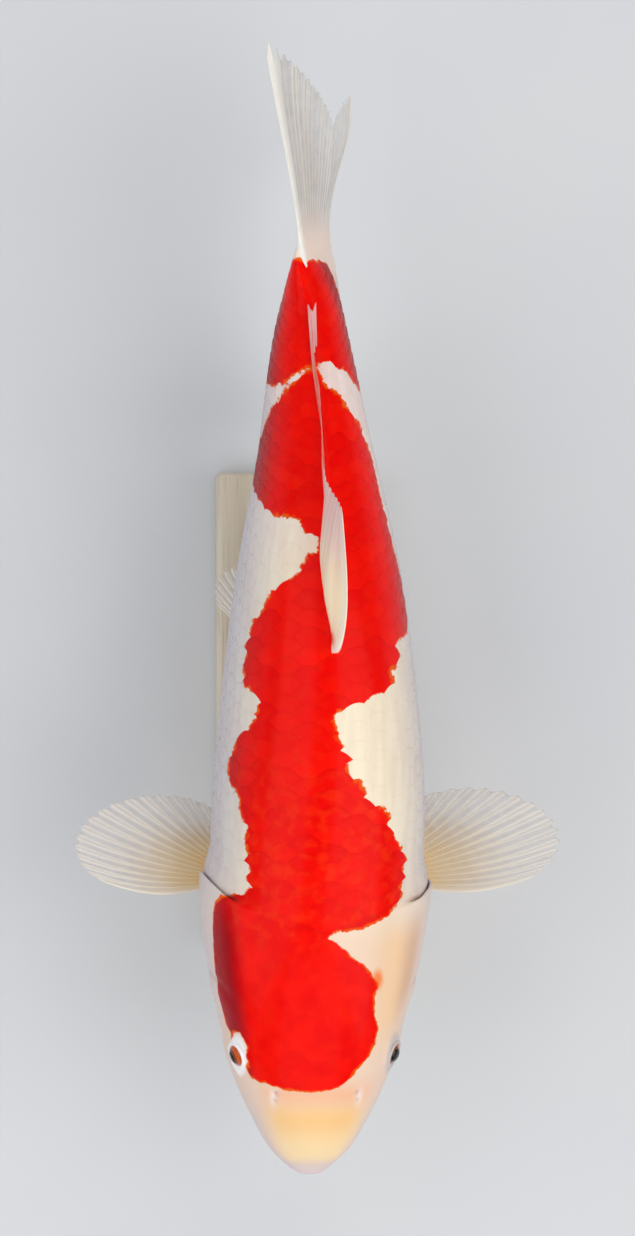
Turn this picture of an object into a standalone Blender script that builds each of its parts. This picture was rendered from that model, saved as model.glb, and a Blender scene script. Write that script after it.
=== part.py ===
"""Koi carp, a still life-size museum model on a plain display stand.

Metres, +Z up. The head points along -Y and the tail along +Y. The origin is the
centre of the stand's underside. Lengths along the body are measured backwards from
the lips, heights from the body axis, which runs level from mouth to tail root, and
angles round the body from the ridge of the back. The fish's left side is at +X.
"""

import math

import bpy
import bmesh
import numpy as np
from mathutils import Vector

# Placing, and the gap between pieces that meet
LIPS_Y = -0.2643
AXIS_HEIGHT = 0.135
GAP = 0.0003

# Lengths behind the lips where the body is parted
NAPE = 0.1523
DORSAL_START = 0.2965
TAIL_STEM_START = 0.4483
TAIL_ROOT = 0.5283

# Each row of the body: behind lips, half width, back, belly, widest level,
# fullness above it, fullness below it, sideways bend
STATIONS = (
    (0.0030, 0.0000, -0.0145, -0.0145, -0.0145, 2.0, 2.0, -0.0022),
    (0.0052, 0.0092, -0.0080, -0.0200, -0.0145, 2.0, 2.0, -0.0022),
    (0.0116, 0.0184, 0.0020, -0.0265, -0.0140, 2.0, 2.0, -0.0022),
    (0.0252, 0.0288, 0.0145, -0.0340, -0.0130, 2.1, 2.1, -0.0022),
    (0.0506, 0.0416, 0.0308, -0.0430, -0.0110, 2.3, 2.2, -0.0023),
    (0.0810, 0.0508, 0.0448, -0.0520, -0.0085, 2.4, 2.2, -0.0022),
    (0.1163, 0.0564, 0.0565, -0.0610, -0.0065, 2.3, 2.2, -0.0014),
    (0.1566, 0.0600, 0.0660, -0.0695, -0.0050, 2.2, 2.3, -0.0004),
    (0.2120, 0.0612, 0.0738, -0.0770, -0.0040, 2.1, 2.4, 0.0016),
    (0.2822, 0.0556, 0.0765, -0.0790, -0.0030, 2.0, 2.4, 0.0022),
    (0.3523, 0.0462, 0.0690, -0.0740, -0.0020, 2.0, 2.3, 0.0017),
    (0.4123, 0.0342, 0.0555, -0.0590, -0.0010, 2.0, 2.1, 0.0000),
    (0.4573, 0.0264, 0.0425, -0.0430, 0.0000, 2.0, 2.0, -0.0022),
    (0.4923, 0.0196, 0.0345, -0.0345, 0.0000, 2.0, 2.0, -0.0029),
    (0.5153, 0.0130, 0.0322, -0.0325, 0.0000, 2.0, 2.0, -0.0018),
    (0.5283, 0.0050, 0.0330, -0.0335, 0.0000, 2.0, 2.0, -0.0004),
)
AROUND = 28
HEAD_RINGS = 20
TRUNK_RINGS = {"trunk_front": 8, "trunk_rear": 9, "tail_stem": 9}
CUTTER_RINGS = 46

# The tail stem turns a little about its axis and the tail root more, its top to -X
TWIST_START = 0.4423
TWIST_STEM = math.radians(5.0)
TWIST_ROOT_START = 0.4873
TWIST_ROOT = math.radians(24.0)

# Head
HEAD_MIDDLE = STATIONS[0][7]
EYE_BEHIND = 0.0737
EYE_ANGLE = math.radians(61.5)
EYE_RADIUS = 0.0095
EYE_SUNK = 0.0062
NOSTRIL_BEHIND = 0.0500
NOSTRIL_ANGLE = math.radians(32.0)
NOSTRIL_RADIUS = 0.0024
MOUTH_HALF_WIDTH = 0.0160
LIP_SWEEP = math.radians(80.0)
LIPS = {
    "upper_lip": {"front": 0.0034, "depth": 0.0140, "level": -0.0135, "corner": -0.0210, "radius": 0.0034},
    "lower_lip": {"front": 0.0066, "depth": 0.0125, "level": -0.0210, "corner": -0.0254, "radius": 0.0031},
}
LIP_POINTS = 15
BARBELS = {
    "corner": {"root": (0.0150, 0.0185, -0.0250), "run": (0.0085, 0.0190, -0.0190), "radius": 0.0016},
    "upper": {"root": (0.0185, 0.0145, -0.0160), "run": (0.0060, 0.0110, -0.0130), "radius": 0.0012},
}
BARBEL_POINTS = 7
BARBEL_TAPER = 0.6

# Gill covers, which stand off the body towards their free rear edge
GILL_TOP_ANGLE = math.radians(44.0)
GILL_WIDEST_ANGLE = math.radians(92.0)
GILL_BOTTOM_ANGLE = math.radians(160.0)
GILL_FRONT = 0.0993
GILL_FRONT_SLANT = 0.012
GILL_TOP_REAR = 0.1583
GILL_WIDEST_REAR = {"left": 0.1703, "right": 0.1753}
GILL_BOTTOM_REAR = 0.1103
GILL_FRONT_LIFT = 0.0011
GILL_REAR_LIFT = 0.0066
GILL_EDGE = 0.0026
GILL_THINNEST = 0.0006

# Fins: thickness of every margin, and how far each root runs into the body
FIN_EDGE = 0.0008
FIN_ROOT_DEPTH = 0.006

# Dorsal fin, half folded, its last rays laid back
DORSAL_ROOT_START = DORSAL_START + 0.005
DORSAL_ROOT_END = 0.4563
DORSAL_HEIGHT = 0.050
DORSAL_LOW = 0.009
DORSAL_SWEEP = 0.044
DORSAL_BULGE = 0.0038
DORSAL_LEAN = 0.0045
DORSAL_THICKNESS = 0.0052

# Tail fin: rows of side, behind lips, height, from root to tip
TAIL_INSET = TAIL_ROOT - 0.012
TAIL_LINES = {
    "lower": ((0.0112, TAIL_INSET, -0.0270), (0.0112, 0.5487, -0.0365), (0.0165, 0.5785, -0.0455),
              (0.0250, 0.6070, -0.0540), (0.0270, 0.6310, -0.0600)),
    "middle": ((0.0000, TAIL_INSET, 0.0), (0.0045, 0.5480, 0.0), (0.0075, 0.5640, 0.0),
               (0.0095, 0.5800, 0.0), (0.0104, 0.5946, 0.0)),
    "upper": ((-0.0110, TAIL_INSET, 0.0270), (-0.0146, 0.5446, 0.0360), (-0.0226, 0.5820, 0.0490),
              (-0.0311, 0.6190, 0.0590), (-0.0350, 0.6410, 0.0640)),
}
TAIL_THICKNESS = 0.0055
TAIL_EDGE_RAY = 0.0020

# Anal fin
ANAL_START = 0.4043
ANAL_END = 0.4423
ANAL_DEPTH = 0.050
ANAL_REAR_SHARE = 0.48
ANAL_SWEEP = 0.044
ANAL_REAR_SWEEP = 0.032
ANAL_LEAN = 0.003
ANAL_THICKNESS = 0.0034

# Paired fins. Margins are arcs of ovals, given by their middle and reach sideways and backwards
PECTORALS = {
    "left": {"side": 1.0, "middle": (0.0945, 0.1921), "reach": (0.0490, 0.0300)},
    "right": {"side": -1.0, "middle": (0.0905, 0.1909), "reach": (0.0475, 0.0280)},
}
PECTORAL_ROOT = (0.0440, 0.1658, -0.0480)
PECTORAL_ROOT_LENGTH = 0.0110
PECTORAL_FAN = (math.radians(-52.0), math.radians(144.0))
PECTORAL_BOW = 0.0068
PECTORAL_RISE = 0.0380
PECTORAL_THICKNESS = 0.0040
PELVICS = {"left": 1.0, "right": -1.0}
PELVIC_MIDDLE = (0.0380, 0.3373)
PELVIC_REACH = (0.0160, 0.0150)
PELVIC_ROOT = (0.0230, 0.2983, -0.0700)
PELVIC_ROOT_RUN = (-0.0030, 0.0090)
PELVIC_FAN = (math.radians(-40.0), math.radians(130.0))
PELVIC_FALL = 0.0150
PELVIC_THICKNESS = 0.0030

# Stand
STAND_LENGTH = 0.290
STAND_WIDTH = 0.096
STAND_THICKNESS = 0.016
STAND_EDGE = 0.003
ROD_RADIUS = 0.004
ROD_FOOT_RADIUS = 0.011
ROD_FOOT_HEIGHT = 0.004
ROD_FOOT_EDGE = 0.0015
ROD_PLACES = {"front": -0.082, "rear": 0.072}
ROD_SIDES = 20

# Colour, roughness and metallic value of each finish
FINISHES = {
    "red skin": ((0.72, 0.02, 0.005), 0.35, 0.0),
    "cream skin": ((0.86, 0.78, 0.70), 0.35, 0.0),
    "fin": ((0.85, 0.80, 0.72), 0.40, 0.0),
    "eye": ((0.30, 0.10, 0.02), 0.10, 0.0),
    "wood": ((0.10, 0.05, 0.03), 0.45, 0.0),
    "metal": ((0.62, 0.60, 0.57), 0.30, 1.0),
}

parts = bpy.data.collections.new("koi_carp")
cutters = bpy.data.collections.new("cutters")


def clear_scene():
    """Remove all objects and link the two collections."""
    for old in list(bpy.data.objects):
        bpy.data.objects.remove(old, do_unlink=True)
    bpy.context.scene.collection.children.link(parts)
    bpy.context.scene.collection.children.link(cutters)


def material(node, finish):
    """A Principled material of its own for each piece."""
    colour, roughness, metallic = FINISHES[finish]
    made = bpy.data.materials.new(node + " " + finish)
    made.use_nodes = True
    shader = made.node_tree.nodes["Principled BSDF"]
    shader.inputs["Base Color"].default_value = (*colour, 1.0)
    shader.inputs["Roughness"].default_value = roughness
    shader.inputs["Metallic"].default_value = metallic
    return made


# ---------------------------------------------------------------- body shape

def smooth_curve(rows):
    """Rows and bends of a natural cubic curve, with a row at each whole parameter."""
    rows = np.array(rows, dtype=float)
    count = len(rows)
    matrix = np.eye(count)
    right = np.zeros_like(rows)
    for i in range(1, count - 1):
        matrix[i, i - 1:i + 2] = (1.0, 4.0, 1.0)
        right[i] = 6.0 * (rows[i + 1] - 2.0 * rows[i] + rows[i - 1])
    return rows, np.linalg.solve(matrix, right)


def curve_at(curve, t):
    """Row of a smooth curve at parameter t."""
    rows, bends = curve
    i = min(max(int(math.floor(t)), 0), len(rows) - 2)
    f = t - i
    g = 1.0 - f
    return (rows[i] * g + rows[i + 1] * f
            + bends[i] * (g ** 3 - g) / 6.0 + bends[i + 1] * (f ** 3 - f) / 6.0)


def body_curve():
    """The stations, mirrored through the snout so that it comes out round."""
    mirrored = []
    for behind, width, back, belly, level, above, below, bend in STATIONS[2:0:-1]:
        mirrored.append((behind, -width, belly, back, level, above, below, bend))
    return smooth_curve(mirrored + list(STATIONS))


BODY = body_curve()
SNOUT_PARAMETER = 2.0
ROOT_PARAMETER = SNOUT_PARAMETER + len(STATIONS) - 1


def parameter_at(behind):
    """Parameter of the body curve at a length behind the lips."""
    low, high = SNOUT_PARAMETER, ROOT_PARAMETER
    for _ in range(40):
        middle = 0.5 * (low + high)
        if curve_at(BODY, middle)[0] < behind:
            low = middle
        else:
            high = middle
    return 0.5 * (low + high)


def body_row(behind):
    """Row of the body at a length behind the lips."""
    return curve_at(BODY, parameter_at(behind))


def ramp(value, start, end):
    """0 before start, 1 after end, smooth between."""
    f = min(max((value - start) / (end - start), 0.0), 1.0)
    return f * f * (3.0 - 2.0 * f)


def twist_at(behind):
    """Turn of the body about its axis."""
    return (TWIST_STEM * ramp(behind, TWIST_START, TWIST_ROOT_START)
            + (TWIST_ROOT - TWIST_STEM) * ramp(behind, TWIST_ROOT_START, TAIL_ROOT))


def place(side, behind, up):
    """World point from a distance to the side, behind the lips and above the axis."""
    return Vector((side, LIPS_Y + behind, AXIS_HEIGHT + up))


def section_point(row, angle, grow=0.0):
    """Point of the body's surface in one row, or of the body grown by a margin."""
    behind, width, back, belly, level, above, below, bend = row
    s, c = math.sin(angle), math.cos(angle)
    fullness = above if c >= 0.0 else below
    reach = (back - level if c >= 0.0 else level - belly) + grow
    side = math.copysign((width + grow) * abs(s) ** (2.0 / fullness), s)
    up = level + math.copysign(reach * abs(c) ** (2.0 / fullness), c)
    turn = twist_at(behind)
    return place(bend + side * math.cos(turn) - up * math.sin(turn), behind,
                 side * math.sin(turn) + up * math.cos(turn))


def body_point(behind, angle):
    """Point of the body's surface at a length behind the lips."""
    return section_point(body_row(behind), angle)


def body_normal(behind, angle):
    """Outward direction of the body's surface."""
    along = body_point(behind + 0.001, angle) - body_point(behind - 0.001, angle)
    around = body_point(behind, angle + 0.02) - body_point(behind, angle - 0.02)
    return around.cross(along).normalized()


# ---------------------------------------------------------------- mesh makers

def add_part(node, mesh, finish):
    """Named piece with its own material, shaded smooth."""
    made = bpy.data.objects.new(node, mesh)
    parts.objects.link(made)
    mesh.materials.clear()
    mesh.materials.append(material(node, finish))
    mesh.shade_smooth()
    mesh.set_sharp_from_angle(angle=math.radians(50.0))
    return made


def add_cutter(name, mesh):
    """Hidden object that only cuts."""
    made = bpy.data.objects.new(name, mesh)
    cutters.objects.link(made)
    made.hide_render = True
    made.display_type = "WIRE"
    return made


def cut(target, tool):
    """Take the tool's volume out of the target."""
    modifier = target.modifiers.new(tool.name, "BOOLEAN")
    modifier.operation = "DIFFERENCE"
    modifier.solver = "EXACT"
    modifier.object = tool


def weld(mesh):
    """Join points that coincide and turn all faces outwards."""
    shape = bmesh.new()
    shape.from_mesh(mesh)
    bmesh.ops.remove_doubles(shape, verts=shape.verts, dist=0.00001)
    bmesh.ops.recalc_face_normals(shape, faces=shape.faces)
    shape.to_mesh(mesh)
    shape.free()
    return mesh


def mesh_from(name, points, faces):
    """Closed mesh from points and faces."""
    mesh = bpy.data.meshes.new(name)
    mesh.from_pydata([tuple(point) for point in points], [], faces)
    return weld(mesh)


def loft_mesh(name, rings):
    """Closed solid through rings of one size; a ring of one point is a pole."""
    around = max(len(ring) for ring in rings)
    points, faces, starts = [], [], []
    for ring in rings:
        starts.append(len(points))
        points.extend(ring)
    for k in range(len(rings) - 1):
        a, b = starts[k], starts[k + 1]
        for j in range(around):
            n = (j + 1) % around
            if len(rings[k]) == 1:
                faces.append((a, b + n, b + j))
            elif len(rings[k + 1]) == 1:
                faces.append((a + j, a + n, b))
            else:
                faces.append((a + j, a + n, b + n, b + j))
    for k in (0, len(rings) - 1):
        if len(rings[k]) > 1:
            faces.append(tuple(starts[k] + j for j in range(around)))
    return mesh_from(name, points, faces)


def body_length(name, start, end, rings, grow=0.0):
    """A length of the body, flat at each parted end and round at the snout."""
    low = parameter_at(start)
    high = parameter_at(end)
    made = []
    for k in range(rings + 1):
        row = curve_at(BODY, low + (high - low) * k / rings)
        if start <= 0.0 and k == 0:
            made.append([place(row[7], row[0] - grow, row[4])])
        else:
            made.append([section_point(row, math.tau * j / AROUND, grow) for j in range(AROUND)])
    return loft_mesh(name, made)


def shell_mesh(name, front, back, across, along):
    """Closed solid between two like grids of points."""
    row = along + 1
    total = len(front)
    faces = []
    for i in range(across):
        for j in range(along):
            a = i * row + j
            quad = (a, a + 1, a + row + 1, a + row)
            faces.append(quad)
            faces.append(tuple(total + k for k in reversed(quad)))
    rim = [j for j in range(along)]
    rim += [i * row + along for i in range(across)]
    rim += [across * row + j for j in range(along, 0, -1)]
    rim += [i * row for i in range(across, 0, -1)]
    for k, a in enumerate(rim):
        b = rim[(k + 1) % len(rim)]
        faces.append((a, b, total + b, total + a))
    return mesh_from(name, front + back, faces)


def sheet_mesh(name, surface, thickness, across, along):
    """Closed thin solid either side of surface(u, v), both running from 0 to 1."""
    front, back = [], []
    for i in range(across + 1):
        for j in range(along + 1):
            u, v = i / across, j / along
            centre = surface(u, v)
            du = surface(min(u + 0.01, 1.0), v) - surface(max(u - 0.01, 0.0), v)
            dv = surface(u, min(v + 0.01, 1.0)) - surface(u, max(v - 0.01, 0.0))
            half = du.cross(dv).normalized() * (0.5 * thickness(u, v))
            front.append(centre + half)
            back.append(centre - half)
    return shell_mesh(name, front, back, across, along)


def tube_mesh(name, path, radii):
    """Solid tapered tube along a path, from a curve with filled caps."""
    curve = bpy.data.curves.new(name, "CURVE")
    curve.dimensions = "3D"
    curve.bevel_depth = 1.0
    curve.bevel_resolution = 2
    curve.use_fill_caps = True
    line = curve.splines.new("POLY")
    line.points.add(len(path) - 1)
    for point, at, radius in zip(line.points, path, radii):
        point.co = (*at, 1.0)
        point.radius = radius
    holder = bpy.data.objects.new(name, curve)
    cutters.objects.link(holder)
    bpy.context.view_layer.update()
    evaluated = holder.evaluated_get(bpy.context.evaluated_depsgraph_get())
    mesh = bpy.data.meshes.new_from_object(evaluated)
    bpy.data.objects.remove(holder, do_unlink=True)
    return weld(mesh)


def ball_mesh(name, centre, radius, segments, rings):
    """Sphere mesh."""
    mesh = bpy.data.meshes.new(name)
    shape = bmesh.new()
    bmesh.ops.create_uvsphere(shape, u_segments=segments, v_segments=rings, radius=radius)
    bmesh.ops.translate(shape, verts=shape.verts, vec=centre)
    shape.to_mesh(mesh)
    shape.free()
    return mesh


# ---------------------------------------------------------------- head

def build_eye(head, name, side):
    """Eyeball in a socket let into the head."""
    angle = side * EYE_ANGLE
    centre = body_point(EYE_BEHIND, angle) - body_normal(EYE_BEHIND, angle) * EYE_SUNK
    add_part("eye_" + name, ball_mesh("eye", centre, EYE_RADIUS, 16, 10), "eye")
    cut(head, add_cutter("socket_" + name, ball_mesh("socket", centre, EYE_RADIUS + GAP, 16, 10)))


def build_lip(head, name, lip):
    """Horseshoe lip, a downturned bow from the front, in its own bed in the head."""
    path, radii = [], []
    for k in range(LIP_POINTS):
        turn = LIP_SWEEP * (2.0 * k / (LIP_POINTS - 1) - 1.0)
        rise = 1.0 - math.cos(turn)
        fall = rise / (1.0 - math.cos(LIP_SWEEP))
        path.append(place(HEAD_MIDDLE + MOUTH_HALF_WIDTH * math.sin(turn),
                          lip["front"] + lip["depth"] * rise,
                          lip["level"] + (lip["corner"] - lip["level"]) * fall))
        radii.append(lip["radius"] * (1.0 - 0.5 * fall))
    add_part(name, tube_mesh(name, path, radii), "cream skin")
    first = path[0] + (path[0] - path[1]).normalized() * GAP
    last = path[-1] + (path[-1] - path[-2]).normalized() * GAP
    grown = [radius + GAP for radius in radii]
    cut(head, add_cutter(name + "_bed", tube_mesh("bed", [first] + path[1:-1] + [last], grown)))


def build_head():
    """Head with eyes, nostrils and lips."""
    head = add_part("head", body_length("head", 0.0, NAPE - 0.5 * GAP, HEAD_RINGS), "red skin")
    for name, side in (("left", 1.0), ("right", -1.0)):
        build_eye(head, name, side)
        pit = body_point(NOSTRIL_BEHIND, side * NOSTRIL_ANGLE)
        cut(head, add_cutter("nostril_" + name, ball_mesh("nostril", pit, NOSTRIL_RADIUS, 8, 5)))
    for name, lip in LIPS.items():
        build_lip(head, name, lip)


def build_barbels(grown_body):
    """Two pairs: the short one on the upper lip and the long one at the mouth's corners."""
    for pair, barbel in BARBELS.items():
        for name, side in (("left", 1.0), ("right", -1.0)):
            path, radii = [], []
            for k in range(BARBEL_POINTS):
                f = k / (BARBEL_POINTS - 1)
                turn = 0.5 * math.pi * f
                shares = (math.sin(turn), 1.0 - math.cos(turn), f)
                across, behind, up = (barbel["root"][i] + barbel["run"][i] * shares[i] for i in range(3))
                path.append(place(HEAD_MIDDLE + side * across, behind, up))
                radii.append(barbel["radius"] * (1.0 - BARBEL_TAPER * f))
            made = add_part("barbel_%s_%s" % (pair, name), tube_mesh("barbel", path, radii), "cream skin")
            cut(made, grown_body)


def gill_rear(name, angle):
    """How far behind the lips the free edge of a gill cover lies."""
    widest = GILL_WIDEST_REAR[name]
    if angle < GILL_WIDEST_ANGLE:
        f = (GILL_WIDEST_ANGLE - angle) / (GILL_WIDEST_ANGLE - GILL_TOP_ANGLE)
        return widest + (GILL_TOP_REAR - widest) * f ** 1.8
    f = (angle - GILL_WIDEST_ANGLE) / (GILL_BOTTOM_ANGLE - GILL_WIDEST_ANGLE)
    return widest + (GILL_BOTTOM_REAR - widest) * f ** 1.25


def build_gill_covers():
    """Bony plates over the sides of the head and the front of the trunk."""
    across, along = 8, 12
    for name, side in (("left", 1.0), ("right", -1.0)):
        outer, inner = [], []
        for i in range(across + 1):
            for j in range(along + 1):
                u, v = i / across, j / along
                angle = GILL_TOP_ANGLE + (GILL_BOTTOM_ANGLE - GILL_TOP_ANGLE) * v
                front = GILL_FRONT - GILL_FRONT_SLANT * v
                behind = front + (gill_rear(name, angle) - front) * u
                ends = 0.25 + 0.75 * math.sin(math.pi * v) ** 0.5
                lift = GILL_FRONT_LIFT + (GILL_REAR_LIFT - GILL_FRONT_LIFT) * ends * u ** 0.75
                hollow = (lift - GILL_EDGE * ends) * ramp(u, 0.55, 1.0)
                base = body_point(behind, side * angle)
                normal = body_normal(behind, side * angle)
                outer.append(base + normal * lift)
                inner.append(base + normal * min(GAP + 0.0002 + hollow, lift - GILL_THINNEST))
        add_part("gill_cover_" + name, shell_mesh("gill", outer, inner, across, along), "cream skin")


# ---------------------------------------------------------------- trunk and fins

def build_trunk():
    """The rest of the body in three lengths."""
    ends = (NAPE, DORSAL_START, TAIL_STEM_START, TAIL_ROOT + 0.5 * GAP)
    for (name, rings), start, end in zip(TRUNK_RINGS.items(), ends, ends[1:]):
        mesh = body_length(name, start + 0.5 * GAP, end - 0.5 * GAP, rings)
        add_part(name, mesh, "red skin")


def build_tail_fin(grown_body):
    """Forked fin, the lower lobe shorter, twisted and cupped towards +X."""
    lower, middle, upper = (smooth_curve(TAIL_LINES[name]) for name in ("lower", "middle", "upper"))
    last = len(TAIL_LINES["middle"]) - 1

    def surface(u, v):
        """u from root to margin, v from the lower lobe to the upper."""
        fork = curve_at(middle, last * u)
        lobe = curve_at(upper if v >= 0.5 else lower, last * u)
        share = abs(2.0 * v - 1.0)
        side = fork[0] + (lobe[0] - fork[0]) * share ** (1.0 + 0.6 * u)
        behind = fork[1] + (lobe[1] - fork[1]) * share ** (1.0 - 0.2 * u)
        return place(side, behind, lobe[2] * share)

    def thickness(u, v):
        share = abs(2.0 * v - 1.0)
        root = TAIL_THICKNESS * (1.0 - u) ** 2 * (1.0 - share * share) ** 0.5
        return FIN_EDGE + root + TAIL_EDGE_RAY * share ** 8 * (1.0 - 0.7 * u)

    cut(add_part("tail_fin", sheet_mesh("tail_fin", surface, thickness, 9, 16), "fin"), grown_body)


def build_dorsal_fin(grown_body):
    """Long fin, high in front and low behind."""
    def surface(u, v):
        """u from root to margin, v from front to rear."""
        root = body_row(DORSAL_ROOT_START + (DORSAL_ROOT_END - DORSAL_ROOT_START) * v)
        over = body_row(root[0] + DORSAL_SWEEP)
        height = DORSAL_LOW + (DORSAL_HEIGHT - DORSAL_LOW) * (1.0 - ramp(v, 0.10, 0.62))
        low = root[2] - FIN_ROOT_DEPTH
        lean = DORSAL_BULGE * math.sin(math.pi * u) * (1.0 - v) + DORSAL_LEAN * u * ramp(v, 0.35, 1.0)
        return place(root[7] + (over[7] - root[7]) * u - lean, root[0] + DORSAL_SWEEP * u ** 1.1,
                     low + (over[2] + height - low) * u)

    def thickness(u, v):
        return FIN_EDGE + DORSAL_THICKNESS * (1.0 - u) ** 0.8 * (1.0 - 0.7 * v)

    cut(add_part("dorsal_fin", sheet_mesh("dorsal_fin", surface, thickness, 7, 16), "fin"), grown_body)


def build_anal_fin(grown_body):
    """Short fin under the tail stem, swept back."""
    def surface(u, v):
        """u from root to margin, v from front to rear."""
        root = body_row(ANAL_START + (ANAL_END - ANAL_START) * v)
        depth = FIN_ROOT_DEPTH + ANAL_DEPTH * (1.0 + (ANAL_REAR_SHARE - 1.0) * ramp(v, 0.0, 1.0))
        sweep = ANAL_SWEEP + (ANAL_REAR_SWEEP - ANAL_SWEEP) * v
        return place(root[7] + ANAL_LEAN * u * u, root[0] + sweep * u ** 1.1,
                     root[3] + FIN_ROOT_DEPTH - depth * u)

    def thickness(u, v):
        return FIN_EDGE + ANAL_THICKNESS * (1.0 - u) ** 1.2 * (1.0 - 0.5 * v)

    cut(add_part("anal_fin", sheet_mesh("anal_fin", surface, thickness, 6, 7), "fin"), grown_body)


def build_pectoral_fins(grown_body):
    """Broad fans spread level behind the gill covers."""
    for name, fin in PECTORALS.items():

        def surface(u, v, fin=fin):
            """u from root to margin, v from the leading ray to the last."""
            turn = PECTORAL_FAN[0] + (PECTORAL_FAN[1] - PECTORAL_FAN[0]) * v
            margin = Vector((fin["middle"][0] + fin["reach"][0] * math.cos(turn),
                             fin["middle"][1] + fin["reach"][1] * math.sin(turn)))
            root = Vector((PECTORAL_ROOT[0], PECTORAL_ROOT[1] + PECTORAL_ROOT_LENGTH * v))
            across, behind = root.lerp(margin, u)
            behind -= PECTORAL_BOW * math.sin(math.pi * u ** 1.2) * (1.0 - v) ** 1.5
            outward = (across - root.x) / (fin["middle"][0] + fin["reach"][0] - root.x)
            return place(fin["side"] * across, behind,
                         PECTORAL_ROOT[2] + PECTORAL_RISE * max(outward, 0.0) ** 0.85)

        def thickness(u, v):
            return FIN_EDGE + PECTORAL_THICKNESS * (1.0 - u) ** 1.3 + 0.0010 * (1.0 - v) ** 6

        mesh = sheet_mesh("pectoral", surface, thickness, 7, 14)
        cut(add_part("pectoral_fin_" + name, mesh, "fin"), grown_body)


def build_pelvic_fins(grown_body):
    """Smaller fans under the belly."""
    middle = STATIONS[10][7]
    for name, side in PELVICS.items():

        def surface(u, v, side=side):
            """u from root to margin, v from the leading ray to the last."""
            turn = PELVIC_FAN[0] + (PELVIC_FAN[1] - PELVIC_FAN[0]) * v
            margin = Vector((PELVIC_MIDDLE[0] + PELVIC_REACH[0] * math.cos(turn),
                             PELVIC_MIDDLE[1] + PELVIC_REACH[1] * math.sin(turn)))
            root = Vector((PELVIC_ROOT[0] + PELVIC_ROOT_RUN[0] * v, PELVIC_ROOT[1] + PELVIC_ROOT_RUN[1] * v))
            across, behind = root.lerp(margin, u)
            return place(middle + side * across, behind, PELVIC_ROOT[2] - PELVIC_FALL * u)

        def thickness(u, v):
            return FIN_EDGE + PELVIC_THICKNESS * (1.0 - u) ** 1.3 + 0.0006 * (1.0 - v) ** 6

        mesh = sheet_mesh("pelvic", surface, thickness, 5, 9)
        cut(add_part("pelvic_fin_" + name, mesh, "fin"), grown_body)


# ---------------------------------------------------------------- stand

def build_base():
    """Flat base with softened edges."""
    bpy.ops.mesh.primitive_cube_add(size=1.0)
    base = bpy.context.object
    base.name = "stand_base"
    for point in base.data.vertices:
        point.co = (point.co.x * STAND_WIDTH, point.co.y * STAND_LENGTH,
                    (point.co.z + 0.5) * STAND_THICKNESS)
    for collection in list(base.users_collection):
        collection.objects.unlink(base)
    parts.objects.link(base)
    base.data.materials.append(material("stand_base", "wood"))
    bevel = base.modifiers.new("edge", "BEVEL")
    bevel.width = STAND_EDGE
    bevel.segments = 3


def build_rods(grown_body):
    """Two turned rods with a small foot, which end just under the belly."""
    foot = STAND_THICKNESS + GAP
    top = AXIS_HEIGHT - foot
    profile = ((0.0, 0.0), (ROD_FOOT_RADIUS, 0.0), (ROD_FOOT_RADIUS, ROD_FOOT_HEIGHT - ROD_FOOT_EDGE),
               (ROD_FOOT_RADIUS - ROD_FOOT_EDGE, ROD_FOOT_HEIGHT), (ROD_RADIUS, ROD_FOOT_HEIGHT),
               (ROD_RADIUS, top), (0.0, top))
    for name, y in ROD_PLACES.items():
        rings = []
        for radius, height in profile:
            count = ROD_SIDES if radius > 0.0 else 1
            turns = [math.tau * k / count for k in range(count)]
            rings.append([Vector((radius * math.cos(turn), y + radius * math.sin(turn), foot + height))
                          for turn in turns])
        cut(add_part("stand_rod_" + name, loft_mesh("rod", rings), "metal"), grown_body)


def main():
    """Build the whole model."""
    clear_scene()
    build_head()
    build_gill_covers()
    build_trunk()
    grown_body = add_cutter("grown_body", body_length("grown", 0.0, TAIL_ROOT, CUTTER_RINGS, GAP))
    build_barbels(grown_body)
    build_dorsal_fin(grown_body)
    build_tail_fin(grown_body)
    build_anal_fin(grown_body)
    build_pectoral_fins(grown_body)
    build_pelvic_fins(grown_body)
    build_base()
    build_rods(grown_body)


main()
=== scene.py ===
"""Looks of the koi carp, a still life-size museum model on a plain display stand.

Metres, +Z up, head along -Y, the fish's left side at +X. The skin, scales, eyes and fins
are all laid over one smooth body. A place on it is given by how far it lies behind the
lips and by its angle from the ridge of the back, positive on the fish's left.
"""

import math

import bpy
import numpy as np
from mathutils import Matrix, Vector

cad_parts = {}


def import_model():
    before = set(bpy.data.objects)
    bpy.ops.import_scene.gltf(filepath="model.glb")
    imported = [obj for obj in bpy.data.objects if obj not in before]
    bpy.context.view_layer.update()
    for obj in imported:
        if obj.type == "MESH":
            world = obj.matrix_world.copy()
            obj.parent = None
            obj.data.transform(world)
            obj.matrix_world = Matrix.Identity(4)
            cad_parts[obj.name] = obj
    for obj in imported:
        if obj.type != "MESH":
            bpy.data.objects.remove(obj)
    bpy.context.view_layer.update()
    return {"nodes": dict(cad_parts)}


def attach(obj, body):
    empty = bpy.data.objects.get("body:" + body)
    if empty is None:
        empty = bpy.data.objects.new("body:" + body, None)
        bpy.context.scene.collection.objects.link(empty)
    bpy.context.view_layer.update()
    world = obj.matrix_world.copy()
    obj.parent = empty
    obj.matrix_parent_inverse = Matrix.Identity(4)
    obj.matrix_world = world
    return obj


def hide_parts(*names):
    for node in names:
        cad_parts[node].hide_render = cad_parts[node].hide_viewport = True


RNG = np.random.default_rng(7)
MM = 0.001

# ---------------------------------------------------------------- sizes, as in the solids

LIPS_Y = -0.2643
AXIS_HEIGHT = 0.135
TAIL_ROOT = 0.5283

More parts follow.
